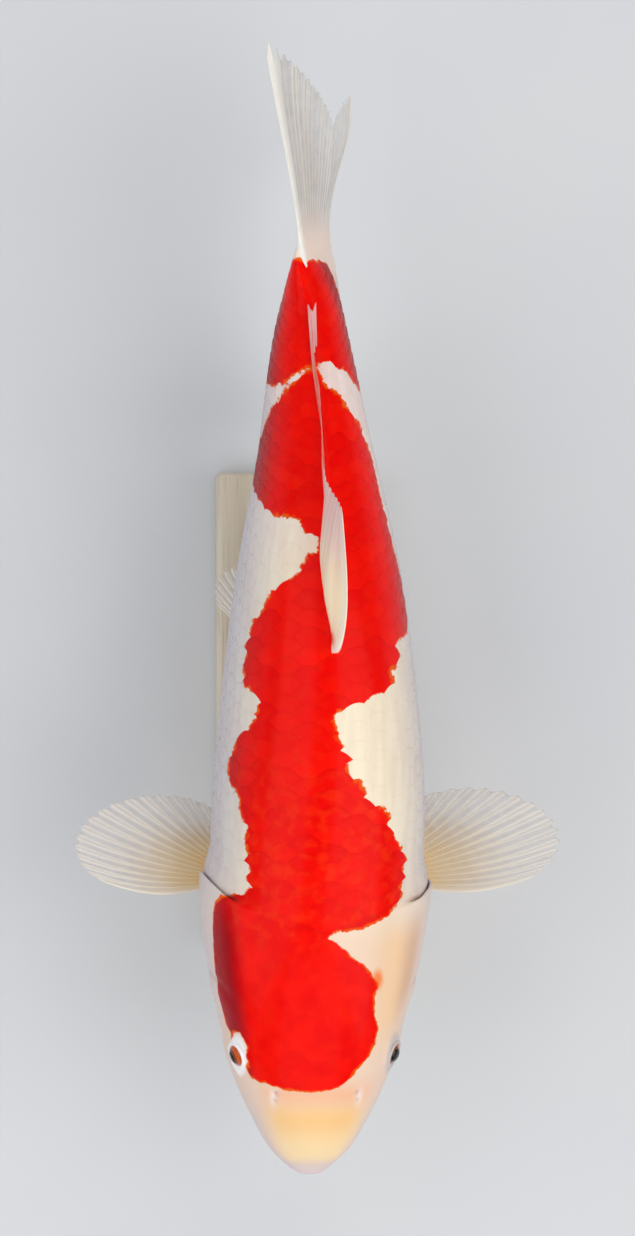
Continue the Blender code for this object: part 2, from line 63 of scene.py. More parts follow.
# Each row of the body: behind lips, half width, back, belly, widest level,
# fullness above it, fullness below it, sideways bend
STATIONS = (
    (0.0030, 0.0000, -0.0145, -0.0145, -0.0145, 2.0, 2.0, -0.0022),
    (0.0052, 0.0092, -0.0080, -0.0200, -0.0145, 2.0, 2.0, -0.0022),
    (0.0116, 0.0184, 0.0020, -0.0265, -0.0140, 2.0, 2.0, -0.0022),
    (0.0252, 0.0288, 0.0145, -0.0340, -0.0130, 2.1, 2.1, -0.0022),
    (0.0506, 0.0416, 0.0308, -0.0430, -0.0110, 2.3, 2.2, -0.0023),
    (0.0810, 0.0508, 0.0448, -0.0520, -0.0085, 2.4, 2.2, -0.0022),
    (0.1163, 0.0564, 0.0565, -0.0610, -0.0065, 2.3, 2.2, -0.0014),
    (0.1566, 0.0600, 0.0660, -0.0695, -0.0050, 2.2, 2.3, -0.0004),
    (0.2120, 0.0612, 0.0738, -0.0770, -0.0040, 2.1, 2.4, 0.0016),
    (0.2822, 0.0556, 0.0765, -0.0790, -0.0030, 2.0, 2.4, 0.0022),
    (0.3523, 0.0462, 0.0690, -0.0740, -0.0020, 2.0, 2.3, 0.0017),
    (0.4123, 0.0342, 0.0555, -0.0590, -0.0010, 2.0, 2.1, 0.0000),
    (0.4573, 0.0264, 0.0425, -0.0430, 0.0000, 2.0, 2.0, -0.0022),
    (0.4923, 0.0196, 0.0345, -0.0345, 0.0000, 2.0, 2.0, -0.0029),
    (0.5153, 0.0130, 0.0322, -0.0325, 0.0000, 2.0, 2.0, -0.0018),
    (0.5283, 0.0050, 0.0330, -0.0335, 0.0000, 2.0, 2.0, -0.0004),
)
TWIST_START = 0.4423
TWIST_STEM = math.radians(5.0)
TWIST_ROOT_START = 0.4873
TWIST_ROOT = math.radians(24.0)

EYE_BEHIND = 0.0737
EYE_ANGLE = math.radians(61.5)
EYE_RADIUS = 0.0095
EYE_SUNK = 0.0062
NOSTRIL_BEHIND = 0.0500
NOSTRIL_ANGLE = math.radians(32.0)
HEAD_MIDDLE = STATIONS[0][7]
MOUTH_HALF_WIDTH = 0.0160
MOUTH_DEPTH = 0.0120
LIP_SWELL = 0.0013
LIP_SPREAD = 0.0018
LIP_SWEEP = math.radians(80.0)
LIPS = {
    "upper": {"front": 0.0034, "depth": 0.0140, "level": -0.0135, "corner": -0.0210, "radius": 0.0034},
    "lower": {"front": 0.0066, "depth": 0.0125, "level": -0.0210, "corner": -0.0254, "radius": 0.0031},
}
BARBELS = (
    {"root": (0.0150, 0.0185, -0.0250), "run": (0.0085, 0.0190, -0.0190), "radius": 0.0016},
    {"root": (0.0185, 0.0145, -0.0160), "run": (0.0060, 0.0110, -0.0130), "radius": 0.0012},
)

# Gill covers: angles in degrees from the ridge, lengths behind the lips
GILL_TOP = 44.0
GILL_WIDEST = 92.0
GILL_BOTTOM = 160.0
GILL_FRONT = 0.0993
GILL_FRONT_SLANT = 0.012
GILL_TOP_REAR = 0.1583
GILL_WIDEST_REAR = {"left": 0.1703, "right": 0.1753}
GILL_BOTTOM_REAR = 0.1103
GILL_FRONT_LIFT = 0.0011
GILL_REAR_LIFT = 0.0066
GILL_FREE = ((GILL_TOP + 2.0, GILL_TOP + 20.0), (140.0, 168.0))
NAPE_REAR = 0.1430
THROAT_REAR = 0.0990

DORSAL_ROOT_START = 0.3015
DORSAL_ROOT_END = 0.4563
ANAL_START = 0.4043
ANAL_END = 0.4423
ANAL_DEPTH = 0.050
TAIL_INSET = TAIL_ROOT - 0.012
TAIL_LINES = {
    "lower": ((0.0112, TAIL_INSET, -0.0270), (0.0112, 0.5487, -0.0365), (0.0165, 0.5785, -0.0455),
              (0.0250, 0.6070, -0.0540), (0.0270, 0.6310, -0.0600)),
    "middle": ((0.0000, TAIL_INSET, 0.0), (0.0045, 0.5480, 0.0), (0.0075, 0.5640, 0.0),
               (0.0095, 0.5800, 0.0), (0.0104, 0.5946, 0.0)),
    "upper": ((-0.0110, TAIL_INSET, 0.0270), (-0.0146, 0.5446, 0.0360), (-0.0226, 0.5820, 0.0490),
              (-0.0311, 0.6190, 0.0590), (-0.0350, 0.6410, 0.0640)),
}
PECTORALS = {
    "left": {"side": 1.0, "middle": (0.0945, 0.1921), "reach": (0.0490, 0.0300)},
    "right": {"side": -1.0, "middle": (0.0905, 0.1909), "reach": (0.0475, 0.0280)},
}
PECTORAL_ROOT = (0.0440, 0.1658, -0.0480)
PECTORAL_ROOT_RUN = (0.0, 0.0110)
PECTORAL_FAN = (math.radians(-52.0), math.radians(144.0))
PECTORAL_BOW = 0.0068
PECTORAL_RISE = 0.0380
PELVICS = {"left": 1.0, "right": -1.0}
PELVIC_MIDDLE = (0.0380, 0.3373)
PELVIC_REACH = (0.0160, 0.0150)
PELVIC_ROOT = (0.0230, 0.2983, -0.0700)
PELVIC_ROOT_RUN = (-0.0030, 0.0090)
PELVIC_FAN = (math.radians(-40.0), math.radians(130.0))
PELVIC_FALL = 0.0150

# ---------------------------------------------------------------- sizes of the dressing

SKIN_AROUND = 240
HEAD_ROWS = 150
TRUNK_ROWS = 200
HEAD_INSET = 0.0002
SCALE_BED = 0.0005
SCALE_ROWS = 30
SCALE_HALF = SCALE_ROWS // 2
SCALE_RISE = 0.00021
SCALE_LENGTH = 1.45
SCALE_SUNK = 0.00004
SCALE_DOME = 0.00007
SCALE_UNITY = 0.30
LATERAL_ROW = 7
LATERAL_TUBE = 0.00030
RIM_AROUND = 72
RIM_SECTION = 14
EYE_OPENING = 0.0062
EYE_RING = 0.0080
EYE_OVAL = 1.40
EYE_CLEAR = 0.0096

# ---------------------------------------------------------------- markings

# How far the red reaches from the ridge, in degrees, by length behind the lips in mm
RED_LEFT = (
    (53.4, -11), (54, 2), (56, 13), (60, 19), (66, 24), (74, 31), (83, 36), (91, 36), (97, 31), (107, 30),
    (117, 30), (124, 24), (128, 20), (134, 11), (140, 5), (143, 1), (146, 4), (147, 12), (149, 22),
    (154, 34), (160, 41), (167, 44), (176, 47), (185, 45), (192, 43), (200, 36), (210, 32), (222, 19),
    (232, 12), (240, 9), (247, 6), (255, 2), (262, 0), (268, 0), (271, 3), (273, 11), (275, 18), (277, 26),
    (282, 34), (284, 42), (288, 43), (291, 39), (294, 45), (298, 48), (306, 46), (309, 54), (312, 66),
    (326, 72), (340, 70), (356, 65), (370, 62), (382, 59), (391, 56), (399, 57), (411, 58), (422, 53),
    (430, 46), (438, 34), (446, 22), (453, 10), (459, 3), (461, 0),
)
RED_RIGHT = (
    (53.4, 11), (55, 24), (57, 33), (59, 44), (62, 52), (70, 56), (79, 62), (86, 69), (94, 73), (105, 74),
    (119, 73), (133, 71), (148, 69), (158, 66), (163, 63), (166, 58), (168, 49), (172, 42), (178, 45),
    (184, 46), (190, 47), (195, 50), (199, 49), (206, 47), (212, 53), (222, 54), (225, 61), (233, 66),
    (243, 66), (252, 61), (260, 52), (268, 46), (274, 44), (280, 51), (284, 56), (287, 62), (295, 61),
    (304, 60), (312, 58), (321, 54), (328, 48), (337, 41), (341, 34), (345, 28), (349, 22), (354, 16),
    (361, 11), (365, 12), (370, 17), (375, 23), (378, 37), (381, 53), (386, 62), (391, 72), (396, 88),
    (402, 93), (411, 94), (421, 88), (431, 79), (438, 67), (445, 51), (454, 30), (460, 13), (461, 0),
)
# Front edge of the red on the tail stem, mm behind the lips, by angle in degrees
RED_STEM = (
    (-112, 462), (-96, 456), (-79, 454), (-60, 452), (-48, 452), (-30, 457), (-20, 460), (-12, 461),
    (3, 464), (22, 465), (28, 459), (40, 462), (54, 454), (75, 449), (86, 454),
)
RED_STEM_END = 0.5240


def smooth_curve(rows):
    """Rows and bends of a natural cubic curve, with a row at each whole parameter."""
    rows = np.array(rows, dtype=float)
    count = len(rows)
    matrix = np.eye(count)
    right = np.zeros_like(rows)
    for i in range(1, count - 1):
        matrix[i, i - 1:i + 2] = (1.0, 4.0, 1.0)
        right[i] = 6.0 * (rows[i + 1] - 2.0 * rows[i] + rows[i - 1])
    return rows, np.linalg.solve(matrix, right)


def curve_at(curve, t):
    """Rows of a smooth curve at an array of parameters."""
    rows, bends = curve
    t = np.asarray(t, dtype=float)
    i = np.clip(np.floor(t).astype(int), 0, len(rows) - 2)
    f = (t - i)[..., None]
    g = 1.0 - f
    return (rows[i] * g + rows[i + 1] * f
            + bends[i] * (g ** 3 - g) / 6.0 + bends[i + 1] * (f ** 3 - f) / 6.0)


def ramp(value, start, end):
    """0 before start, 1 after end, smooth between."""
    f = np.clip((np.asarray(value, dtype=float) - start) / (end - start), 0.0, 1.0)
    return f * f * (3.0 - 2.0 * f)


def window(value, rise=None, fall=None):
    """1 between a rise and a fall, each given by its start and end; a missing one is left open."""
    share = 1.0 if rise is None else ramp(value, *rise)
    return share if fall is None else share * (1.0 - ramp(value, *fall))


def bell(value, width):
    """1 at zero, falling off smoothly over a width."""
    return np.exp(-(np.asarray(value, dtype=float) / width) ** 2)


def mix(a, b, share):
    """Blend of two arrays, with the share of the second."""
    return a + (b - a) * share


def tint(tone, over, share):
    """Tones with another laid over them, by one share for each place."""
    return mix(tone, over, np.asarray(share)[..., None])


def unit(vectors):
    """Vectors brought to a length of 1."""
    return vectors / np.linalg.norm(vectors, axis=-1, keepdims=True)


# ---------------------------------------------------------------- body surface

def body_curve():
    """The stations, mirrored through the snout so that it comes out round."""
    mirrored = []
    for behind, width, back, belly, level, above, below, bend in STATIONS[2:0:-1]:
        mirrored.append((behind, -width, belly, back, level, above, below, bend))
    return smooth_curve(mirrored + list(STATIONS))


BODY = body_curve()
SNOUT_PARAMETER = 2.0
ROOT_PARAMETER = SNOUT_PARAMETER + len(STATIONS) - 1
PARAMETERS = np.linspace(SNOUT_PARAMETER, ROOT_PARAMETER, 6001)
BEHINDS = np.maximum.accumulate(curve_at(BODY, PARAMETERS)[:, 0])


def parameter_at(behind):
    """Parameters of the body curve at lengths behind the lips."""
    return np.interp(behind, BEHINDS, PARAMETERS)


def twist_at(behind):
    """Turn of the body about its axis."""
    return (TWIST_STEM * ramp(behind, TWIST_START, TWIST_ROOT_START)
            + (TWIST_ROOT - TWIST_STEM) * ramp(behind, TWIST_ROOT_START, TAIL_ROOT))


def place(side, behind, up):
    """World points from distances to the side, behind the lips and above the axis."""
    return np.stack(np.broadcast_arrays(side, LIPS_Y + behind, AXIS_HEIGHT + up), axis=-1)


def section_at(rows, angle):
    """Points of the smooth body for rows of it and angles in radians."""
    behind, width, back, belly, level, above, below, bend = np.moveaxis(rows, -1, 0)
    s, c = np.sin(angle), np.cos(angle)
    upper = c >= 0.0
    power = 2.0 / np.where(upper, above, below)
    reach = np.where(upper, back - level, level - belly)
    side = np.sign(s) * np.maximum(width, 0.0) * np.abs(s) ** power
    up = level + np.sign(c) * reach * np.abs(c) ** power
    turn = twist_at(behind)
    return place(bend + side * np.cos(turn) - up * np.sin(turn), behind,
                 side * np.sin(turn) + up * np.cos(turn))


def body_at(t, angle):
    """Points of the smooth body, by curve parameter and angle in radians."""
    t, angle = np.broadcast_arrays(t, angle)
    return section_at(curve_at(BODY, t), angle)


def normals_at(t, angle):
    """Outward directions of the smooth body."""
    t = np.maximum(t, SNOUT_PARAMETER + 0.05)
    along = body_at(t + 0.02, angle) - body_at(t - 0.02, angle)
    around = body_at(t, angle + 0.02) - body_at(t, angle - 0.02)
    return unit(np.cross(around, along))


def lifted(t, angle, lift):
    """Points of the smooth body moved out along its normals."""
    return body_at(t, angle) + normals_at(t, angle) * np.asarray(lift)[..., None]


# Arc length round the half girth, for laying out scales and markings
GIRTH_BEHINDS = np.linspace(0.0035, TAIL_ROOT, 260)
GIRTH_STEPS = 360


def girth_tables():
    """Arc from the ridge by angle, and angle by share of the half girth, for each row."""
    angles = np.linspace(0.0, math.pi, GIRTH_STEPS + 1)
    points = body_at(parameter_at(GIRTH_BEHINDS)[:, None], angles[None, :])
    steps = np.linalg.norm(np.diff(points, axis=1), axis=-1)
    arcs = np.concatenate([np.zeros((len(GIRTH_BEHINDS), 1)), np.cumsum(steps, axis=1)], axis=1)
    shares = np.linspace(0.0, 1.0, GIRTH_STEPS + 1)
    inverse = np.array([np.interp(shares, arc / arc[-1], angles) for arc in arcs])
    return arcs, inverse


ARCS, ANGLE_BY_SHARE = girth_tables()


def look_up(table, behind, across):
    """Value of a girth table at lengths behind the lips and shares, 0 to 1, of its columns."""
    x = (np.clip(behind, GIRTH_BEHINDS[0], TAIL_ROOT) - GIRTH_BEHINDS[0])
    x = x / (TAIL_ROOT - GIRTH_BEHINDS[0]) * (len(GIRTH_BEHINDS) - 1)
    y = np.clip(across, 0.0, 1.0) * GIRTH_STEPS
    i = np.minimum(x.astype(int), len(GIRTH_BEHINDS) - 2)
    j = np.minimum(y.astype(int), GIRTH_STEPS - 1)
    f, g = x - i, y - j
    return ((table[i, j] * (1 - g) + table[i, j + 1] * g) * (1 - f)
            + (table[i + 1, j] * (1 - g) + table[i + 1, j + 1] * g) * f)


def arc_at(behind, angle):
    """Signed arc from the ridge, for angles from -pi to pi."""
    behind, angle = np.broadcast_arrays(behind, angle)
    return np.sign(angle) * look_up(ARCS, behind, np.abs(angle) / math.pi)


def angle_at_share(behind, share):
    """Angle at a signed share of the half girth; shares past 1 go round to the other side."""
    behind, share = np.broadcast_arrays(behind, share)
    turned = np.where(share > 1.0, share - 2.0, np.where(share < -1.0, share + 2.0, share))
    return np.sign(turned) * look_up(ANGLE_BY_SHARE, behind, np.abs(turned))


# ---------------------------------------------------------------- gill covers and relief

def gill_rear(angle):
    """How far behind the lips the head ends: nape, free edge of the gill covers, throat."""
    degrees = np.degrees(np.abs(angle))
    widest = np.where(angle >= 0.0, GILL_WIDEST_REAR["left"], GILL_WIDEST_REAR["right"])
    top = NAPE_REAR + (GILL_TOP_REAR - NAPE_REAR) * (degrees / GILL_TOP) ** 1.5
    above = np.clip((GILL_WIDEST - degrees) / (GILL_WIDEST - GILL_TOP), 0.0, 1.0)
    below = np.clip((degrees - GILL_WIDEST) / (GILL_BOTTOM - GILL_WIDEST), 0.0, 1.0)
    upper = mix(widest, GILL_TOP_REAR, above ** 1.8)
    lower = mix(widest, GILL_BOTTOM_REAR, below ** 1.25)
    throat = mix(GILL_BOTTOM_REAR, THROAT_REAR, ramp(degrees, GILL_BOTTOM - 6.0, 180.0))
    side = np.where(degrees < GILL_WIDEST, upper, lower)
    return np.where(degrees < GILL_TOP, top, np.where(degrees > GILL_BOTTOM, throat, side))


def gill_open(angle):
    """1 where the gill cover's edge is free, 0 at the nape and throat."""
    return window(np.degrees(np.abs(angle)), *GILL_FREE)


def near(behind, angle, at_behind, at_angle):
    """Offsets in metres, backwards and round the body, from a place on it."""
    back = behind - at_behind
    round_ = arc_at(behind, angle) - arc_at(at_behind, at_angle)
    return back, round_


def eye_distance(behind, angle):
    """Distance along the surface from the nearer eye's middle."""
    back, round_ = near(behind, np.abs(angle), EYE_BEHIND, EYE_ANGLE)
    return np.hypot(back, round_)


def eye_oval(behind, angle):
    """Distance from the nearer eye's middle, counted shorter lengthwise."""
    back, round_ = near(behind, np.abs(angle), EYE_BEHIND - 0.0005, EYE_ANGLE)
    return np.hypot(back / EYE_OVAL, round_)


def preopercle(angle):
    """How far behind the lips the groove across the cheek runs, an arc open to the front."""
    degrees = np.degrees(np.abs(angle))
    return 0.1180 - 0.0350 * ((degrees - 88.0) / 60.0) ** 2


# Low oval rises: length behind the lips, angle, height, width, and length as a multiple of width
CHEEK_BONE = (0.0760, math.radians(86.0), 0.0010, 0.0060, 1.8)
PECTORAL_MOUND = (0.1760, math.radians(128.0), 0.0022, 0.0100, 1.5)
PELVIC_MOUND = (0.3060, math.radians(146.0), 0.0016, 0.0080, 1.6)

# Angles in degrees, and for the muzzle lengths too, where each form comes in and fades out
COVER_ANGLES = ((GILL_TOP - 8.0, GILL_TOP + 16.0), (136.0, 170.0))
CHEEK_ANGLES = ((52.0, 68.0), (136.0, 158.0))
MUZZLE_ANGLES = ((25.0, 75.0), (120.0, 160.0))
MUZZLE_REACH = ((0.0030, 0.0110), (0.014, 0.038))

COVER_RIM_DEPTH = 0.0008
CHEEK_RELIEF = 0.0006
CHEEK_AHEAD = 0.0085
# Grooves under the gill cover: angle and width in degrees, depth, and where each starts to deepen
COVER_GROOVES = ((138.0, 2.6, 0.0009, (0.070, 0.090)), (152.0, 2.2, 0.0006, (0.060, 0.080)))
SOCKET_DEPTH = 0.0060
SOCKET_EDGE = (0.0050, 0.0072)
SOCKET_RIM = 0.0016
NOSTRIL_DEPTH = 0.0022
NOSTRIL_FLAP = 0.0012
MUZZLE_LIFT = 0.0010
SHOULDER_LIFT = 0.0036
SHOULDER_LENGTH = 0.020
RIDGE_LIFT = 0.0010
RIDGE_FADE = 0.01


def mound(behind, angle, form):
    """A low oval rise on each side of the body."""
    at_behind, at_angle, height, width, stretch = form
    back, round_ = near(behind, np.abs(angle), at_behind, at_angle)
    return height * bell(np.hypot(back / stretch, round_), width)


def cover_lift(behind, angle):
    """Rise of the gill cover from its front to its free edge."""
    degrees = np.degrees(np.abs(angle))
    front = GILL_FRONT - GILL_FRONT_SLANT * (degrees - GILL_TOP) / (GILL_BOTTOM - GILL_TOP)
    u = np.clip((behind - front) / (gill_rear(angle) - front), 0.0, 1.0)
    rise = GILL_FRONT_LIFT * ramp(behind, front - 0.012, front + 0.006)
    rise = rise + (GILL_REAR_LIFT - GILL_FRONT_LIFT) * u ** 0.75 * ramp(u, 0.0, 0.25)
    rise = rise - COVER_RIM_DEPTH * ramp(u, 0.86, 1.0) * gill_open(angle)
    return rise * window(degrees, *COVER_ANGLES)


def cheek_lift(behind, angle):
    """Groove of the preopercle, the low swelling before it, and the grooves under the cover."""
    degrees = np.degrees(np.abs(angle))
    gap = behind - preopercle(angle)
    swell = bell(gap + CHEEK_AHEAD, 0.0065) - bell(gap, 0.0034)
    lift = CHEEK_RELIEF * swell * window(degrees, *CHEEK_ANGLES)
    for middle, width, depth, start in COVER_GROOVES:
        lift = lift - depth * bell(degrees - middle, width) * ramp(behind, *start)
    return lift


def socket_lift(behind, angle):
    """Eye socket with its raised rim, and the bone below it."""
    reach = eye_distance(behind, angle)
    rim = SOCKET_RIM * bell(reach - EYE_RING, 0.0030)
    return rim - SOCKET_DEPTH * (1.0 - ramp(reach, *SOCKET_EDGE)) + mound(behind, angle, CHEEK_BONE)


def nostril_lift(behind, angle):
    """Nostrils: a front hole with its flap, and the larger one behind."""
    back, round_ = near(behind, np.abs(angle), NOSTRIL_BEHIND, NOSTRIL_ANGLE)
    pit = bell(np.hypot(back - 0.0018, round_ * 0.9), 0.0017)
    pit = pit + 0.8 * bell(np.hypot(back + 0.0022, round_), 0.0012)
    flap = bell(np.hypot((back + 0.0004) * 1.6, (round_ + 0.0002) * 0.6), 0.0015)
    return NOSTRIL_FLAP * flap - NOSTRIL_DEPTH * pit


def muzzle_lift(behind, angle):
    """Broad blunt muzzle."""
    across = window(np.degrees(np.abs(angle)), *MUZZLE_ANGLES)
    return MUZZLE_LIFT * across * window(behind, *MUZZLE_REACH)


def head_lift(behind, angle):
    """Relief of the head over the smooth body."""
    parts = (cover_lift, cheek_lift, socket_lift, nostril_lift, muzzle_lift, lip_fillet)
    return sum(part(behind, angle) for part in parts) - HEAD_INSET


def lip_fillet(behind, angle):
    """Swelling of the skin that carries the lips, so that they grow out of it."""
    close = behind < 0.030
    lift = np.zeros(np.broadcast(behind, angle).shape)
    if not np.any(close):
        return lift
    points = body_at(parameter_at(behind), angle)
    for lip in LIPS.values():
        path, radii = lip_path(lip)
        for at, radius in zip(path[::2], radii[::2]):
            gap = np.linalg.norm(points - at, axis=-1) - radius
            swell = LIP_SWELL * radius / lip["radius"] * np.exp(-np.maximum(gap, 0.0) / LIP_SPREAD)
            lift = np.maximum(lift, swell)
    return np.where(close, lift, 0.0)


def trunk_lift(behind, angle):
    """Relief of the trunk: the fleshy roots of the fins and the shoulder."""
    rear = gill_rear(angle)
    lift = SHOULDER_LIFT * gill_open(angle) * (1.0 - ramp(behind, rear, rear + SHOULDER_LENGTH))
    lift = lift + mound(behind, angle, PECTORAL_MOUND) + mound(behind, angle, PELVIC_MOUND)
    ends = [(at - RIDGE_FADE, at + RIDGE_FADE) for at in (DORSAL_ROOT_START, DORSAL_ROOT_END)]
    return lift + RIDGE_LIFT * window(behind, *ends) * bell(np.degrees(angle), 4.0)


# ---------------------------------------------------------------- painting

def rgb(red, green, blue):
    """Linear colour from display values of 0 to 255."""
    value = np.array([red, green, blue], dtype=float) / 255.0
    return np.where(value <= 0.04045, value / 12.92, ((value + 0.055) / 1.055) ** 2.4)


CREAM = rgb(255, 240, 212)
# Cooler, greyer tone of the flanks: partly the skin's own, partly painted shade
PEARL_AND_SHADE = rgb(210, 203, 206)
BELLY = rgb(244, 236, 230)
PEACH = rgb(254, 206, 144)
SALMON = rgb(252, 176, 134)
SNOUT_CREAM = rgb(255, 225, 176)
BLUSH = rgb(240, 206, 184)
LILAC = rgb(212, 203, 212)
RING = rgb(250, 246, 246)
# Ring round the left eye, painted greyer as shade
SHADED_RING = rgb(204, 196, 194)
ORANGE = rgb(252, 128, 44)
# Painted shade in the nostril holes and the mouth's slit
PIT_SHADE = rgb(120, 74, 66)
LIP_PINK = rgb(228, 200, 196)
STEM_WHITE = rgb(248, 226, 222)
TAIL_FLESH = rgb(246, 222, 208)


def red_outlines():
    """Closed outlines of the two red patches, as lengths behind the lips and signed arcs."""
    left = [(behind * MM, math.radians(degrees)) for behind, degrees in RED_LEFT]
    right = [(behind * MM, -math.radians(degrees)) for behind, degrees in reversed(RED_RIGHT)]
    front = [(behind * MM, math.radians(degrees)) for degrees, behind in RED_STEM]
    rear = [(RED_STEM_END, math.radians(degrees)) for degrees, behind in reversed(RED_STEM)]
    outlines = []
    for corners in (left + right, front + rear):
        behind, angle = np.array(corners).T
        outlines.append(np.stack([behind, arc_at(behind, angle)], axis=1))
    return outlines


RED_OUTLINES = red_outlines()


def inside_red(behind, angle):
    """Whether a place lies in a red patch."""
    degrees = np.degrees(angle)
    mm = behind / MM
    left = np.interp(mm, *np.array(RED_LEFT).T)
    right = np.interp(mm, *np.array(RED_RIGHT).T)
    body = (degrees < left) & (degrees > -right) & (mm > RED_LEFT[0][0]) & (mm < RED_LEFT[-1][0])
    front = np.interp(degrees, *np.array(RED_STEM).T)
    stem = (mm > front) & (behind < RED_STEM_END) & (degrees > RED_STEM[0][0]) & (degrees < RED_STEM[-1][0])
    return body | stem


def red_depth(behind, angle):
    """Distance in mm inside the red patches, negative outside them."""
    behind, angle = np.broadcast_arrays(behind, angle)
    here = np.stack([behind, arc_at(behind, angle)], axis=-1)
    nearest = np.full(behind.shape, 1.0)
    for outline in RED_OUTLINES:
        for start, end in zip(outline, np.roll(outline, -1, axis=0)):
            run = end - start
            share = np.clip(((here - start) @ run) / max(run @ run, 1e-12), 0.0, 1.0)
            nearest = np.minimum(nearest, np.linalg.norm(here - start - share[..., None] * run, axis=-1))
    depth = np.where(inside_red(behind, angle), nearest, -nearest) / MM
    ring = (eye_oval(behind, angle) - EYE_CLEAR) / MM
    return np.where(ring < 6.0, np.minimum(depth, ring), depth)


# Washes of colour: tone, strength, where it comes in and fades out by degrees from the ridge, and
# the same by mm behind the lips; None leaves a side open
BODY_WASHES = (
    # Flanks greyer than the back: partly the skin's own tone, partly painted shade
    (PEARL_AND_SHADE, 1.0, (22.0, 84.0), None, None, None),
    (BELLY, 1.0, (100.0, 140.0), None, None, None),
    (BLUSH, 0.75, None, (80.0, 140.0), None, (130.0, 185.0)),
    (STEM_WHITE, 0.8, None, (40.0, 100.0), (330.0, 430.0), None),
    (TAIL_FLESH, 1.0, None, None, (500.0, 527.0), None),
)
FACE_WASHES = (
    (LILAC, 0.70, None, None, None, (2.0, 12.0)),
    # Lilac on the sides of the snout and head: partly the skin's own tone, partly painted shade
    (LILAC, 0.45, (52.0, 80.0), None, None, (30.0, 60.0)),
    (LILAC, 0.60, (50.0, 84.0), (140.0, 168.0), (76.0, 122.0), (130.0, 185.0)),
)


def wash(tone, washes, degrees, mm):
    """A tone with a list of washes laid over it in turn."""
    for wet, strength, *sides in washes:
        share = strength * window(degrees, *sides[:2]) * window(mm, *sides[2:])
        tone = tint(tone, wet, share)
    return tone


def warm_snout(tone, degrees, mm):
    """Pink next to the red, peach before it, pale cream towards the lips, peach at the temples."""
    wide = 1.0 - ramp(degrees, 28.0, 74.0 - 0.35 * np.minimum(mm, 60.0))
    tone = tint(tone, SNOUT_CREAM, wide * window(mm, (1.0, 16.0), (24.0, 44.0)))
    tone = tint(tone, PEACH, wide * bell(mm - 36.0, 12.0))
    tone = tint(tone, SALMON, 0.55 * wide * bell(mm - 52.0, 7.0))
    return tint(tone, PEACH, 0.5 * bell(degrees - 42.0, 14.0) * window(mm, (70.0, 100.0), (135.0, 158.0)))


# Middle of the small orange spot on the rear of the head, left of the ridge
SPOT = (0.1185, math.radians(30.0))


def paint(behind, angle):
    """Colour of the white parts of the skin."""
    behind, angle = np.broadcast_arrays(behind, angle)
    degrees = np.degrees(np.abs(angle))
    mm = behind / MM
    tone = warm_snout(wash(CREAM, BODY_WASHES, degrees, mm), degrees, mm)
    tone = wash(tone, FACE_WASHES, degrees, mm)
    near_eye = eye_oval(behind, angle) / MM
    # The left eye's ring is painted greyer, as shade; the right one stays pale
    ring = np.where((angle < 0.0)[..., None], RING, SHADED_RING)
    tone = tint(tone, ring, 1.0 - ramp(near_eye, 7.6, 10.2))
    back, round_ = near(behind, angle, *SPOT)
    tone = tint(tone, ORANGE, 0.9 * (1.0 - ramp(np.hypot(back / 1.5, round_), 0.0014, 0.0058)))
    back, round_ = near(behind, np.abs(angle), NOSTRIL_BEHIND, NOSTRIL_ANGLE)
    tone = tint(tone, RING, 0.6 * bell(np.hypot(back / 1.9, round_ - 0.0008), 0.0028))
    # Painted shade in the two nostril holes
    holes = bell(np.hypot(back - 0.0020, round_ + 0.0002), 0.0010)
    holes = holes + 0.7 * bell(np.hypot(back + 0.0024, round_), 0.0008)
    return tint(tone, PIT_SHADE, np.clip(0.55 * holes, 0.0, 1.0))


def shades(behind, angle):
    """Painted values besides the tone: painted shade in the head's hollows and along the cheek's groove,
    painted shade darkening the red towards the flanks, and the red's mottling.
    """
    behind, angle = np.broadcast_arrays(behind, angle)
    degrees = np.degrees(np.abs(angle))
    # Painted shade in the hollow behind the eye, between the gill cover and the top of the head
    hollow = 0.50 * bell(degrees - 54.0, 7.0) * window(behind, (0.084, 0.116), (0.136, 0.168))
    plates = window(degrees, (56.0, 70.0), (128.0, 150.0))
    # Painted shade along the groove across the cheek
    cheek = 0.55 * bell(behind - preopercle(angle), 0.0011) * plates
    shoulder = window(behind, (0.130, 0.150), (0.200, 0.270))
    # Painted shade: darker from the back towards the flanks, sooner on the head
    flank = mix(ramp(degrees, 42.0, 58.0), ramp(degrees, 38.0, 84.0), ramp(behind, 0.140, 0.180))
    return {"dusk": np.clip(hollow + cheek, 0.0, 1.0), "deep": flank, "warm": 0.25 + 0.75 * shoulder}


# Values of the small white parts of the skin, well outside the red and the gill slits
PLAIN_FLESH = {"red": -20.0, "fold": 0.0, "dusk": 0.0, "deep": 0.0, "warm": 0.0}


# ---------------------------------------------------------------- mesh making

def add_object(name, data):
    """A new object of the scene."""
    made = bpy.data.objects.new(name, data)
    bpy.context.scene.collection.objects.link(made)
    return made


